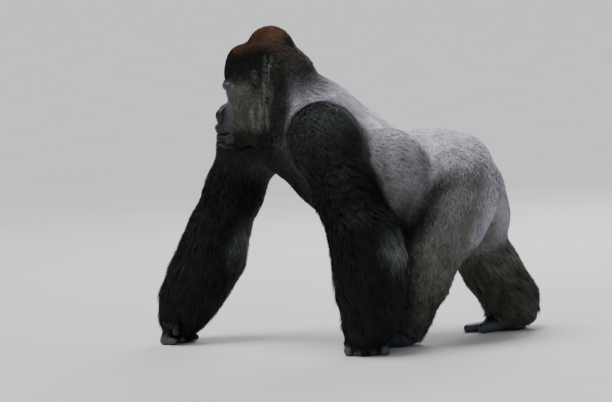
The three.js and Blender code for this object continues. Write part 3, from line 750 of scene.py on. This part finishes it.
def smooth_noise(p, size, seed=0):
    """A smooth number between about -1 and 1, over lengths of about size, from a few sine waves."""
    made = np.zeros(len(p))
    waves = np.random.default_rng(seed)
    for _ in range(7):
        way = unit(waves.normal(size=3)) * 2 * math.pi / (size * waves.uniform(0.7, 1.6))
        made += np.sin(p @ way + waves.uniform(0, 6.28))
    return made / 3.0


def bare_face(p):
    """1 on the bare skin of the face, 0 under hair."""
    h = head_places(p)
    side = np.abs(h[:, 1])
    edge = 92 + 8 * ramp(-h[:, 2], 40, 120) - 8 * ramp(side, 30, 70) + 4 * smooth_noise(p, 40, 3)
    bare = ramp(h[:, 0], edge - 15, edge + 12) * (1 - ramp(h[:, 2], 30, 42)) * ramp(h[:, 2], -192, -168)
    return bare * (np.linalg.norm(h * [1.0, 1.6, 0.9], axis=1) < 225)


def zone_share(w, *zones):
    return sum(w[:, ZONE[z]] for z in zones)


def window(x, low, high, soft):
    """1 between low and high, 0 outside, soft at both ends."""
    return ramp(x, low - soft, low + soft) * (1 - ramp(x, high - soft, high + soft))


def drift(p, size, seed):
    """Three smooth numbers at each point."""
    return np.stack([smooth_noise(p, size, seed + i) for i in range(3)], axis=1)


def coat_colour(p, n, w):
    """Markings of the coat at points with normals n and zone shares w, with painted light and shade."""
    base = w[:, :len(ZONES)] @ MARK_TABLE
    on = lambda *zones: zone_share(w, *zones)
    onto = lambda colour, share: mix(base, colour, np.clip(share, 0, 1)[:, None])
    (x, _, z), (behind, side, up) = p.T, n.T
    side = np.abs(side)
    ahead, left, above = head_places(p).T
    aside = np.abs(left)
    base = onto(RUST, on("crown") * ramp(up, 0.35, 0.85))
    base = onto(RUST * 0.7, on("nape") * ramp(above, 120, 190) * ramp(up, 0.2, 0.7))
    silver = ramp(x + 48 - 1.1 * np.maximum(0, 800 - z), -22, 22)
    base = onto(SILVER * 0.8, on("neck") * silver)
    base = onto(BLACK * 1.1, on("neck", "back", "breast", "flank") * (1 - silver) * ramp(940 - z, 0, 90))
    ragged, uneven = ahead + 13 * smooth_noise(p, 45, 21), above + 15 * smooth_noise(p, 45, 22)
    cheek = window(ragged, -36, 112, 24) * window(uneven, -124, 48, 32) * ramp(aside, 12, 44)
    base = onto(OLIVE * 1.45, 0.9 * cheek * on("cheek", "face", "neck", "crown"))
    streaks = smooth_noise(np.stack([ahead * 7.0, left, above * 0.55], axis=1), 60, 8)
    streaks = ramp(streaks, -0.35, 0.5) * ramp(aside, 46, 70)
    below_ear = window(ahead, -52, 14, 12) * window(above, -122, -14, 16)
    behind_ear = window(ahead, -64, -32, 9) * window(above, -40, 118, 20)
    base = onto(STREAK, 0.75 * streaks * np.maximum(below_ear, behind_ear))
    round_ear = np.exp(-((ahead + 14) / 27) ** 2 - ((above - 36) / 42) ** 2) * ramp(aside, 60, 80)
    base = onto(DUN * 0.3, 0.9 * round_ear)
    # Painted shade: the hair under the jaw is darkened.
    under_jaw_shade = on("cheek", "face", "neck") * ramp(-above, 105, 150) * ramp(ahead, -70, -30)
    base = onto(DUN * 0.28, under_jaw_shade)
    base = onto(OLIVE * 1.9, 0.35 * on("rump") * ramp(side, 0.3, 0.9) * ramp(640 - z, 0, 160))
    # Darker fur in the waist's hollow between ribs and thigh, deepened with painted shade.
    waist_fur_and_shade = np.exp(-((x - 350 - (z - 380) * 0.62) / 52) ** 2) * ramp(side, 0.25, 0.7)
    waist_fur_and_shade *= ramp(z, 300, 360) * (1 - ramp(z, 560, 650))
    base = onto(DUN * 0.25, 0.95 * waist_fur_and_shade * on("back", "rump", "flank", "belly", "thigh"))
    # Painted light: back, neck, flanks and rump are lighter where they face up; the rump is also lighter low
    # down.
    lit_top_and_low_rump = on("back", "rump", "neck", "flank") * silver * ramp(up, 0.25, 0.85)
    lit_top_and_low_rump = 1.1 * (lit_top_and_low_rump + on("rump") * ramp(up, 0.55, 0.95)) + 0.6 * on("rump") * ramp(610 - z, 0, 90)
    # Painted shade on the haunch's sides that face away from the top.
    haunch_side_shade = on("rump", "back") * window(x, 430, 640, 60) * (1 - ramp(up, 0.35, 0.85))
    base = base * (1 + lit_top_and_low_rump - 0.34 * haunch_side_shade * ramp(z, 520, 610))[:, None]
    buttock = on("rump", "thigh") * ramp(behind, 0.4, 0.85) * ramp(z, 330, 430)
    base = onto(SILVER * 1.2, 0.85 * buttock)
    # Painted shade on the back and flanks where they face down.
    base = onto(DUN * 0.5, 0.85 * ramp(-up, -0.05, 0.6) * on("back", "flank"))
    elbow = on("upperarm", "forearm") * np.exp(-((z - 395) / 60) ** 2) * ramp(behind, 0.1, 0.8)
    base = onto(CHARCOAL * 6.5, 0.8 * elbow)
    # Painted light: the shoulders are lighter on top, where they face up.
    base = onto(CHARCOAL * 1.9, 0.7 * on("shoulder") * ramp(up, 0.2, 0.8))
    base = base * (1 + on("shank") * (1.6 * ramp(z, 190, 330) + 0.2))[:, None]
    base = base * (1 + 0.14 * smooth_noise(p, 60, 5))[:, None]
    return np.clip(base, 0.003, 0.8)


def face_shade(p):
    """How light the bare skin is: dull on brow and cheeks, near black on nose, lips and chin, deepened by
    painted shade.
    """
    ahead, left, above = head_places(p).T
    dark = np.maximum(ramp(ahead, 108, 140) * ramp(-above, 40, 66), ramp(-above, 105, 150))
    # Painted shade in the nostrils' hollows and in the deep sockets round the eyes.
    nostril_shade, eyes = 0, 0
    for s in (1, -1):
        nostril_shade += np.exp(-(((ahead - 166) / 16) ** 2 + ((left - s * 19) / 10) ** 2 + ((above + 97) / 9) ** 2))
        eyes += np.exp(-(((left - s * EYE_PLACE[1]) / 17) ** 2 + ((above - EYE_PLACE[2]) / 11) ** 2))
    eyes = eyes * ramp(ahead, 90, 105)
    shade = (1.0 - 0.87 * dark) * (1 - 0.8 * np.clip(nostril_shade, 0, 1)) * (1 - 0.5 * eyes)
    rim = ramp(-above, 136, 141) * (1 - ramp(-above, 152, 157)) * ramp(ahead, 115, 135)  # painted shade along the crease between the lips
    # Painted shade under the chin.
    return shade * (1 - 0.75 * ramp(-above, 150, 185)) * (1 - 0.5 * rim)


def skin_colour(p, n, w):
    """Bare skin on the face, ears and digits, and a dark shade of the coat's markings elsewhere, with painted
    light and shade.
    """
    ahead, _, above = head_places(p).T
    blue = np.clip(0.5 + 0.5 * smooth_noise(p, 45, 31), 0, 1)[:, None]
    flesh = mix(SKIN_DARK, SKIN_BLUE, blue)
    in_ear = np.exp(-((ahead - EAR_PLACE[0] - 2) / 7) ** 2 - ((above - EAR_PLACE[2] - 2) / 10) ** 2)[:, None]
    ear = mix(SKIN_DARK * 0.45, SKIN_BLUE, in_ear)
    flesh = mix(flesh, ear, np.clip(zone_share(w, "ear") * 1.5, 0, 1)[:, None])
    flesh = mix(flesh, SKIN_BLUE * 1.7, np.clip(zone_share(w, "finger", "foot"), 0, 1)[:, None] * 0.7)
    face = mix(SKIN_DARK, SKIN_BLUE, 0.6 + 0.4 * blue) * face_shade(p)[:, None]
    flesh = np.where(zone_share(w, "face", "cheek")[:, None] > 0.3, face, flesh)
    bare = np.clip(np.maximum(bare_face(p), zone_share(w, "finger", "foot", "ear")), 0, 1)[:, None]
    return mix(coat_colour(p, n, w) * 0.55, flesh, bare)


# --- coat
def lie_of(p, n, w):
    """The way the hair lies, along the skin."""
    lie = w[:, -3:].astype(np.float64).copy()
    h = head_places(p)
    of_head = zone_share(w, "crown", "cheek", "face") + 0.5 * w[:, ZONE["nape"]]
    side = ramp(np.abs(h[:, 1]), 35, 75) * (1 - ramp(h[:, 2], 70, 130))
    local = np.stack([-1 + 0.65 * side, 0.1 * np.sign(h[:, 1]), -0.15 - 0.85 * side], axis=1)
    lie = mix(lie, local @ HEAD_TURN.T, np.clip(of_head, 0, 1)[:, None])
    lie[:, 2] -= zone_share(w, "back", "rump", "neck") * 0.5 * ramp(np.abs(n[:, 1]), 0.2, 0.9)
    lie += 0.22 * drift(p, 90, 11)
    lie -= (lie * n).sum(axis=1, keepdims=True) * n
    return unit(lie)


def grow(root, normal, lie, traits, reach):
    """Tuft paths (n, segments + 1, 3) over the skin, drawn together into wavy locks, and their widths."""
    count = len(root)
    length, width, _, _, lock_size, draw, wave, loose = (traits[:, i] for i in range(8))
    strayed = rng.normal(size=root.shape) * 1.2  # mm
    place = root + 0.35 * lock_size[:, None] * drift(root, 34, 21) + strayed
    kind = np.round(lock_size / 3.0).astype(np.int64)
    cell = np.floor(place / (kind * 3.0)[:, None]).astype(np.int64)
    key = ((cell[:, 0] * 4096 + cell[:, 1]) * 4096 + cell[:, 2]) * 16 + kind
    _, lock = np.unique(key, return_inverse=True)
    locks = lock.max() + 1
    size = np.bincount(lock, minlength=locks)[:, None]
    centre = np.stack([np.bincount(lock, root[:, i], locks) for i in range(3)], axis=1) / size
    draws = ((rng.uniform, 0, 6.28), (rng.uniform, 0.66, 1.05), (rng.normal, 0, 0.16),
             (rng.uniform, 0.8, 1.15), (rng.normal, 0, 1))
    phase, lock_lift, lock_twist, lock_length, lock_tint = (
        draw_from(*limits, locks)[lock] for draw_from, *limits in draws)

    across = np.cross(normal, lie)
    twist = (lock_twist + rng.normal(0, 0.12, count))[:, None]
    way = unit(lie * np.cos(twist) + across * np.sin(twist))
    length = length * lock_length * rng.uniform(0.65, 1.15, count)
    lift = reach * lock_lift * rng.uniform(0.25, 1.0, count) ** 0.4 * loose
    segments = int(round(traits[0, 3]))
    offset = root - centre[lock]
    path = [root - normal * ROOT_DEPTH]
    point = root.copy()
    ups, sides = [normal], [across]
    for j in range(1, segments + 1):
        s = j / segments
        point = point + way * (length / segments)[:, None]
        distance, up_way = probe(point)
        height = lift * min(1.0, 1.4 * s**0.8)
        point = point + up_way * np.clip(height - distance, -12, 12)[:, None]
        way = unit(way - (way * up_way).sum(axis=1, keepdims=True) * up_way)
        side = np.cross(up_way, way)
        sway = wave * s * np.sin(phase + 5.0 * s)
        pulled = point - offset * (draw * s**1.3)[:, None] + side * sway[:, None]
        path.append(pulled)
        ups.append(up_way)
        sides.append(side)
    path, ups, sides = (np.stack(v, axis=1) for v in (path, ups, sides))
    roll = rng.normal(0, 0.25, count)[:, None, None]
    flat = sides * np.cos(roll) + ups * np.sin(roll)
    profile = np.array([0.8, 1.0, 0.85, 0.6, 0.4])[:segments]
    half = width[:, None] * rng.uniform(0.7, 1.25, (count, 1)) * profile[None, :] / 2
    return path, flat, half, lock_tint


def tuft_mesh(path, flat, half):
    """Vertices and triangles of tapering blades along the paths."""
    count, stations = path.shape[:2]
    segments = stations - 1
    out = flat[:, :-1] * half[:, :, None]
    rows = np.stack([path[:, :-1] - out, path[:, :-1] + out], axis=2).reshape(count, 2 * segments, 3)
    points = np.concatenate([rows, path[:, -1:]], axis=1)
    faces = [face for a in range(0, 2 * segments - 2, 2) for face in ((a, a + 1, a + 3), (a, a + 3, a + 2))]
    faces.append((2 * segments - 2, 2 * segments - 1, 2 * segments))
    each = 2 * segments + 1
    triangles = (np.array(faces)[None] + (np.arange(count) * each)[:, None, None]).reshape(-1, 3)
    share = np.repeat(np.arange(segments) / segments, 2).tolist() + [1.0]
    return points.reshape(-1, 3), triangles, np.tile(share, count), each


# The coat's pieces: the zones in each, and the axis that its skin is unwrapped round.
TRUNK_AXIS = (vec(-140, 0, 760), vec(700, 0, 540))
HEAD_AXIS = (on_head((-150, 0, -20)), on_head((170, 0, -60)))
PIECES = {
    "coat_head": (["face", "crown", "cheek", "nape", "ear"], None, HEAD_AXIS),
    "coat_neck": (["neck", "breast"], None, (vec(120, 0, 760), vec(-150, 0, 860))),
    "coat_back": (["back"], None, TRUNK_AXIS),
    "coat_flanks": (["flank", "belly"], None, TRUNK_AXIS),
    "coat_rump": (["rump"], None, TRUNK_AXIS),
}
for s in SIDES:
    PIECES[f"coat_{s}_upper_arm"] = (["shoulder", "upperarm"], s, (ARM[s]["shoulder"], ARM[s]["elbow"]))
    PIECES[f"coat_{s}_forearm"] = (["forearm", "wrist", "finger"], s, (ARM[s]["elbow"], ARM[s]["knuckle"]))
    PIECES[f"coat_{s}_leg"] = (["thigh", "shank", "foot"], s, (LEG[s]["hip"], LEG[s]["foot"]))


def unwrap(p, axis):
    """Places on an unwrap of the skin: the angle round an axis, and how far along it."""
    a, b = axis
    along = unit(b - a)
    first = unit(np.cross(along, vec(0.3, 0.9, 0.4)))
    second = np.cross(along, first)
    q = p - a
    t = q @ along
    angle = np.arctan2(q @ second, q @ first)
    t = (t - t.min()) / max(float(np.ptp(t)), 1e-6)
    return np.stack([0.02 + 0.96 * (angle / (2 * math.pi) + 0.5), 0.02 + 0.96 * t], axis=1)


LOWEST_TUFT = 0.5  # mm above the floor
ROOT_DEPTH = 1.5  # mm that a tuft starts below the skin
SHADE_NOISE = 0.14  # how much single tufts differ in shade
PATCH = 0.003  # size of a tuft's place on the map
THINNING = 0.975  # keeps the coat under 1.5 million triangles


def scatter_roots(points, triangles, normals, traits):
    """Random roots over the skin, at each zone's density."""
    a, b, c = (points[triangles[:, i]] for i in range(3))
    area = np.linalg.norm(np.cross(b - a, c - a), axis=1) / 2 / 1e6
    shares = traits[triangles].mean(axis=1)[:, :len(ZONES)]
    number = area * (shares @ HAIR_TABLE[:, 2]) * THINNING
    number = np.floor(number + rng.random(len(number))).astype(int)
    owner = np.repeat(np.arange(len(triangles)), number)
    u, v = rng.random(len(owner)), rng.random(len(owner))
    fold = u + v > 1
    u[fold], v[fold] = 1 - u[fold], 1 - v[fold]
    corner = np.stack([1 - u - v, u, v], axis=1)[:, :, None]
    of_corners = lambda values: (values[triangles[owner]] * corner).sum(axis=1)
    return of_corners(points), unit(of_corners(normals)), of_corners(traits)


def make_coat(points, triangles, normals, traits):
    """The coat's pieces, each a joined mesh of tufts."""
    root, normal, w = scatter_roots(points, triangles, normals, traits)
    bare = np.maximum(bare_face(root), w[:, ZONE["finger"]] * (1 - ramp(root[:, 2], 34, 60)))
    bare = np.maximum(bare, w[:, ZONE["foot"]] * (1 - ramp(root[:, 2], 24, 50)))
    keep = (rng.random(len(root)) > bare) & (root[:, 2] > 4)
    root, normal, w = root[keep], normal[keep], w[keep]
    lie = lie_of(root, normal, w)
    shares = np.maximum(w[:, :len(ZONES)], 0)
    shares /= shares.sum(axis=1, keepdims=True)
    params, reach = shares @ HAIR_TABLE, shares @ COAT_TABLE
    pick = (shares.cumsum(axis=1) < rng.random((len(root), 1))).sum(axis=1)
    pick = np.minimum(pick, len(ZONES) - 1)
    colour = coat_colour(root, normal, w)
    made = []
    for name, (zones, side, axis) in PIECES.items():
        members = np.isin(pick, [ZONE[z] for z in zones])
        if side:
            members &= (root[:, 1] < 0) if side == "left" else (root[:, 1] >= 0)
        parts, offset = [], 0
        for segments in (2, 3, 4):
            (i,) = np.nonzero(members & (HAIR_TABLE[pick, 3] == segments))
            if not len(i):
                continue
            traits_here = params[i].copy()
            traits_here[:, 3] = segments
            path, flat, half, lock_tint = grow(root[i], normal[i], lie[i], traits_here, reach[i])
            v, f, share, each = tuft_mesh(path, flat, half)
            # Locks differ in shade at random; the wide spread on the arms is painted sheen on their locks.
            tint = 1 + CONTRAST_TABLE[pick[i]] * lock_tint + SHADE_NOISE * rng.normal(size=len(i))
            # Painted shade deep in the coat: each tuft is darker at its root than at its tip.
            shade = np.repeat(np.clip(tint, 0.35, 2.4), each) * (0.72 + 0.5 * share)
            rgb = np.repeat(colour[i], each, axis=0) * shade[:, None]
            lateral = np.tile(np.array([0, 1] * segments + [0.5]), len(i))
            uv = np.repeat(unwrap(root[i], axis), each, axis=0)
            uv += PATCH * np.stack([lateral - 0.5, share - 0.5], axis=1)
            parts.append((v, f + offset, rgb, uv))
            offset += len(v)
        v, f, rgb, uv = (np.concatenate(x) for x in zip(*parts))
        v[:, 2] = np.maximum(v[:, 2], LOWEST_TUFT)
        piece = mesh_object(name, v, f)
        set_colour(piece, "coat_tint", rgb)
        layer = piece.data.uv_layers.new(name="OFBake")
        layer.data.foreach_set("uv", uv[f.ravel()].astype(np.float32).ravel())
        made.append(piece)
    return made


def set_colour(made, name, rgb):
    """Stores a colour at each vertex, for the material of that name's attribute."""
    attribute = made.data.color_attributes.new(name=name, type="FLOAT_COLOR", domain="POINT")
    rgba = np.concatenate([np.clip(rgb, 0, 1), np.ones((len(rgb), 1))], axis=1).astype(np.float32)
    attribute.data.foreach_set("color", rgba.ravel())


# --- materials
def feed(material, node, **inputs):
    """Sets a node's inputs, or links those given as a socket. An underscore stands for a space."""
    for name, value in inputs.items():
        socket = node.inputs[name.replace("_", " ")]
        if isinstance(value, bpy.types.NodeSocket):
            material.node_tree.links.new(value, socket)
        else:
            socket.default_value = value


def add_node(material, kind, settings=None, **inputs):
    node = material.node_tree.nodes.new("ShaderNode" + kind)
    for name, value in (settings or {}).items():
        setattr(node, name, value)
    feed(material, node, **inputs)
    return node.outputs


def surface(made, **inputs):
    feed(made, made.node_tree.nodes["Principled BSDF"], **inputs)


def new_material(name, noise_scale, detail, **looks):
    """A material with the looks of its surface, its object coordinates, and noise over them."""
    made = bpy.data.materials.new(name)
    made.use_nodes = True
    surface(made, **looks)
    place = add_node(made, "TexCoord")["Object"]
    return made, place, add_node(made, "TexNoise", Vector=place, Scale=noise_scale, Detail=detail)["Fac"]


def tinted_material(name, attribute, noise_scale, detail, shades, spread=(0.0, 1.0), **looks):
    """A material coloured by a mesh attribute, which noise makes lighter and darker."""
    made, place, noise = new_material(name, noise_scale, detail, **looks)
    light = add_node(made, "MapRange", Value=noise, From_Min=spread[0], From_Max=spread[1],
                     To_Min=shades[0], To_Max=shades[1])["Result"]
    tint = add_node(made, "Attribute", dict(attribute_name=attribute))["Color"]
    colour = add_node(made, "VectorMath", dict(operation="SCALE"), Vector=tint, Scale=light)["Vector"]
    surface(made, Base_Color=colour)
    return made, place, noise


def coat_material(name, roughness=0.55, shine=0.13):
    return tinted_material(name, "coat_tint", 260.0, 3.0, (0.75, 1.3), (0.3, 0.7), Roughness=roughness,
                           Specular_IOR_Level=shine)[0]


def skin_material():
    made, place, noise = tinted_material("gorilla_skin", "skin_tint", 60.0, 6.0, (0.7, 1.35),
                                         Specular_IOR_Level=0.4)
    pores = add_node(made, "TexVoronoi", dict(feature="DISTANCE_TO_EDGE"), Vector=place, Scale=950.0)
    groove = add_node(made, "MapRange", Value=pores["Distance"], From_Max=0.12)["Result"]
    grain = add_node(made, "Bump", Height=groove, Strength=0.3, Distance=0.0003)["Normal"]
    lumps = add_node(made, "Bump", Height=noise, Strength=0.3, Distance=0.003, Normal=grain)["Normal"]
    gloss = add_node(made, "MapRange", Value=noise, To_Min=0.36, To_Max=0.6)["Result"]
    surface(made, Normal=lumps, Roughness=gloss)
    return made


def floor_material():
    made, _, noise = new_material("studio_floor", 1.5, 4.0, Roughness=0.8)
    shades = made.node_tree.nodes.new("ShaderNodeValToRGB")
    darkest, lightest = shades.color_ramp.elements
    darkest.color, lightest.color = (0.66, 0.655, 0.64, 1), (0.76, 0.752, 0.735, 1)
    feed(made, shades, Fac=noise)
    surface(made, Base_Color=shades.outputs["Color"])
    return made


def eye_material():
    return tinted_material("gorilla_eye", "eye_tint", 900.0, 2.0, (0.6, 1.4), Roughness=0.12, Coat_Weight=0.7,
                           Coat_Roughness=0.03)[0]


# --- eyes and toenails
def grid_quads(index):
    """Quads between neighbours in a grid of points' numbers."""
    return np.stack([index[:-1, :-1], index[1:, :-1], index[1:, 1:], index[:-1, 1:]], axis=-1).reshape(-1, 4)


def halves(quads):
    """Two triangles from each quad."""
    return np.concatenate([quads[:, [0, 1, 2]], quads[:, [0, 2, 3]]])


def make_eye(side):
    """An eyeball that looks ahead, with a clear bulge over its iris and pupil."""
    s = 1 if side == "left" else -1
    axis = unit(vec(1.0, s * 0.10, -0.10))
    first = unit(np.cross(axis, vec(0, 0, 1)))
    second = np.cross(first, axis)
    rings, around = 44, 56
    angle = np.concatenate([np.linspace(0, 0.6, 25), np.linspace(0.6, math.pi, rings - 24)[1:]])
    turned = np.arange(around) * 2 * math.pi / around
    a, b = np.meshgrid(angle[1:-1], turned, indexing="ij")
    a, b = np.concatenate([[0.0], a.ravel(), [math.pi]]), np.concatenate([[0.0], b.ravel(), [0.0]])
    radius = EYE_RADIUS - 0.9 + 0.9 * np.exp(-(a / 0.42) ** 4)
    way = (np.cos(a)[:, None] * axis + (np.sin(a) * np.cos(b))[:, None] * first
           + (np.sin(a) * np.sin(b))[:, None] * second)
    places = EYE_PLACE * [1, s, 1] + way * radius[:, None]
    rows = len(angle) - 2
    index = 1 + np.arange(rows * around).reshape(rows, around)
    index = np.concatenate([index, index[:, :1]], axis=1)
    front, back = np.zeros(around, int), np.full(around, len(places) - 1)
    faces = np.concatenate([halves(grid_quads(index)), np.stack([front, index[0, :-1], index[0, 1:]], axis=1),
                            np.stack([back, index[-1, 1:], index[-1, :-1]], axis=1)])
    made = mesh_object(f"eyeball_{side}", places @ HEAD_TURN.T + HEAD_AT, faces)
    streaks = 0.8 + 0.25 * np.sin(b * 23 + 2 * np.sin(b * 5)) + 0.15 * np.sin(b * 41)
    a, streaks = a[:, None], streaks[:, None]
    iris = mix(vec(0.10, 0.036, 0.012), vec(0.034, 0.012, 0.005), np.clip((a - 0.2) / 0.25, 0, 1)) * streaks
    white = mix(vec(0.028, 0.014, 0.009), vec(0.07, 0.045, 0.035), ramp(a, 0.7, 1.1))
    tint = mix(iris, white, ramp(a, 0.44, 0.5)) * (1 - 0.75 * np.exp(-((a - 0.46) / 0.05) ** 2))
    set_colour(made, "eye_tint", mix(np.full((len(a), 3), 0.001), tint, ramp(a, 0.15, 0.19)))
    return made


def make_nails(side):
    """A thin curved plate on top of each toe's end."""
    wide, long, thick = 0.6, 0.62, 1.7
    across, along = np.meshgrid(np.linspace(-1, 1, 15), np.linspace(-1, 1, 17), indexing="ij")
    round_off = 1 - 0.32 * (across * along) ** 2
    places, faces, tint = [], [], []
    index = np.arange(across.size).reshape(across.shape)
    top = grid_quads(index)
    edge = np.concatenate([index[:, 0], index[-1, 1:], index[-2::-1, -1], index[0, -2:0:-1]])
    wall = np.stack([edge, edge + index.size, np.roll(edge, -1) + index.size, np.roll(edge, -1)], axis=-1)
    quads = np.concatenate([top, top[:, ::-1] + index.size, wall])[:, ::-1]
    for n, (end, radius, front) in enumerate(TOE_ENDS[side]):
        out = unit(front * 0.58 + vec(0, 0, 0.81))
        sideways = unit(np.cross(vec(0, 0, 1), front))
        onward = np.cross(sideways, out)
        a, b = (across * round_off * wide).ravel()[:, None], (along * round_off * long).ravel()[:, None]
        way = unit(out + sideways * np.tan(a) + onward * np.tan(b))
        dome = 0.7 * (1 - np.maximum(np.abs(across), np.abs(along)) ** 4).ravel()[:, None]
        places.append(np.concatenate([end + way * (radius + 0.5 + dome), end + way * (radius - thick)]))
        faces.append(quads + n * 2 * index.size)
        lines = 1 + 0.25 * np.sin(across.ravel() * 31) + 0.35 * ramp(along.ravel(), 0.5, 0.95)
        tint.append(np.tile(vec(0.019, 0.017, 0.015) * lines[:, None], (2, 1)))
    made = mesh_object(f"toenails_{side}", np.concatenate(places), halves(np.concatenate(faces)))
    set_colour(made, "coat_tint", np.concatenate(tint))
    return made


# --- the animal
skin = make_skin()
points, triangles = mesh_arrays(skin)
_, traits = join(BODY, points, True)
normals = read(skin.data.vertices, "normal").astype(np.float64)
set_colour(skin, "skin_tint", skin_colour(points, normals, traits))
skin.data.materials.append(skin_material())

coat = make_coat(points, triangles, normals, traits)
hair = coat_material("gorilla_coat")
for piece in coat:
    piece.data.materials.append(hair)
    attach(piece, "root")
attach(skin, "root")
FLESH = ["chest", "loin", "neck", "head"] + [
    f"{s}_{part}" for s in SIDES for part in
    ["upper_arm", "forearm", "hand", "thigh", "shank", "foot", "ear"]]
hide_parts(*FLESH)
eye_look, horn = eye_material(), coat_material("gorilla_nail", 0.45, 0.35)
for s in SIDES:
    eye = make_eye(s)
    eye.data.materials.append(eye_look)
    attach(eye, "root")
    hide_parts(f"{s}_eye")
for s in SIDES:
    nails = make_nails(s)
    nails.data.materials.append(horn)
    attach(nails, "root")

# --- floor, lights
bpy.ops.mesh.primitive_plane_add(size=3000.0, location=(0, 0, 0))
floor = bpy.context.object
floor.name = "studio_floor"
floor.data.materials.append(floor_material())


def add_light(name, kind, strength, place, aim=(0, 0, 0), **settings):
    data = bpy.data.lights.new(name, kind)
    data.energy = strength
    for setting, value in settings.items():
        setattr(data, setting, value)
    made = bpy.data.objects.new(name, data)
    made.location = place
    made.rotation_euler = (Vector(aim) - Vector(place)).to_track_quat("-Z", "Y").to_euler()
    bpy.context.scene.collection.objects.link(made)


add_light("key", "SUN", 3.0, (-0.3, -0.02, 1.0), angle=math.radians(35), color=(1.0, 0.985, 0.965))
add_light("rim", "AREA", 150, (1.2, 4.2, 3.4), (0, 0, 0.7), size=2.5, color=(0.95, 0.97, 1.0))
add_light("fill", "AREA", 45, (-1.5, -5.0, 2.2), (0, 0, 0.5), size=3.0)
world = bpy.context.scene.world or bpy.data.worlds.new("studio")
bpy.context.scene.world = world
world.use_nodes = True
background = world.node_tree.nodes["Background"]
background.inputs["Color"].default_value = (0.86, 0.9, 1.0, 1)
background.inputs["Strength"].default_value = 0.38
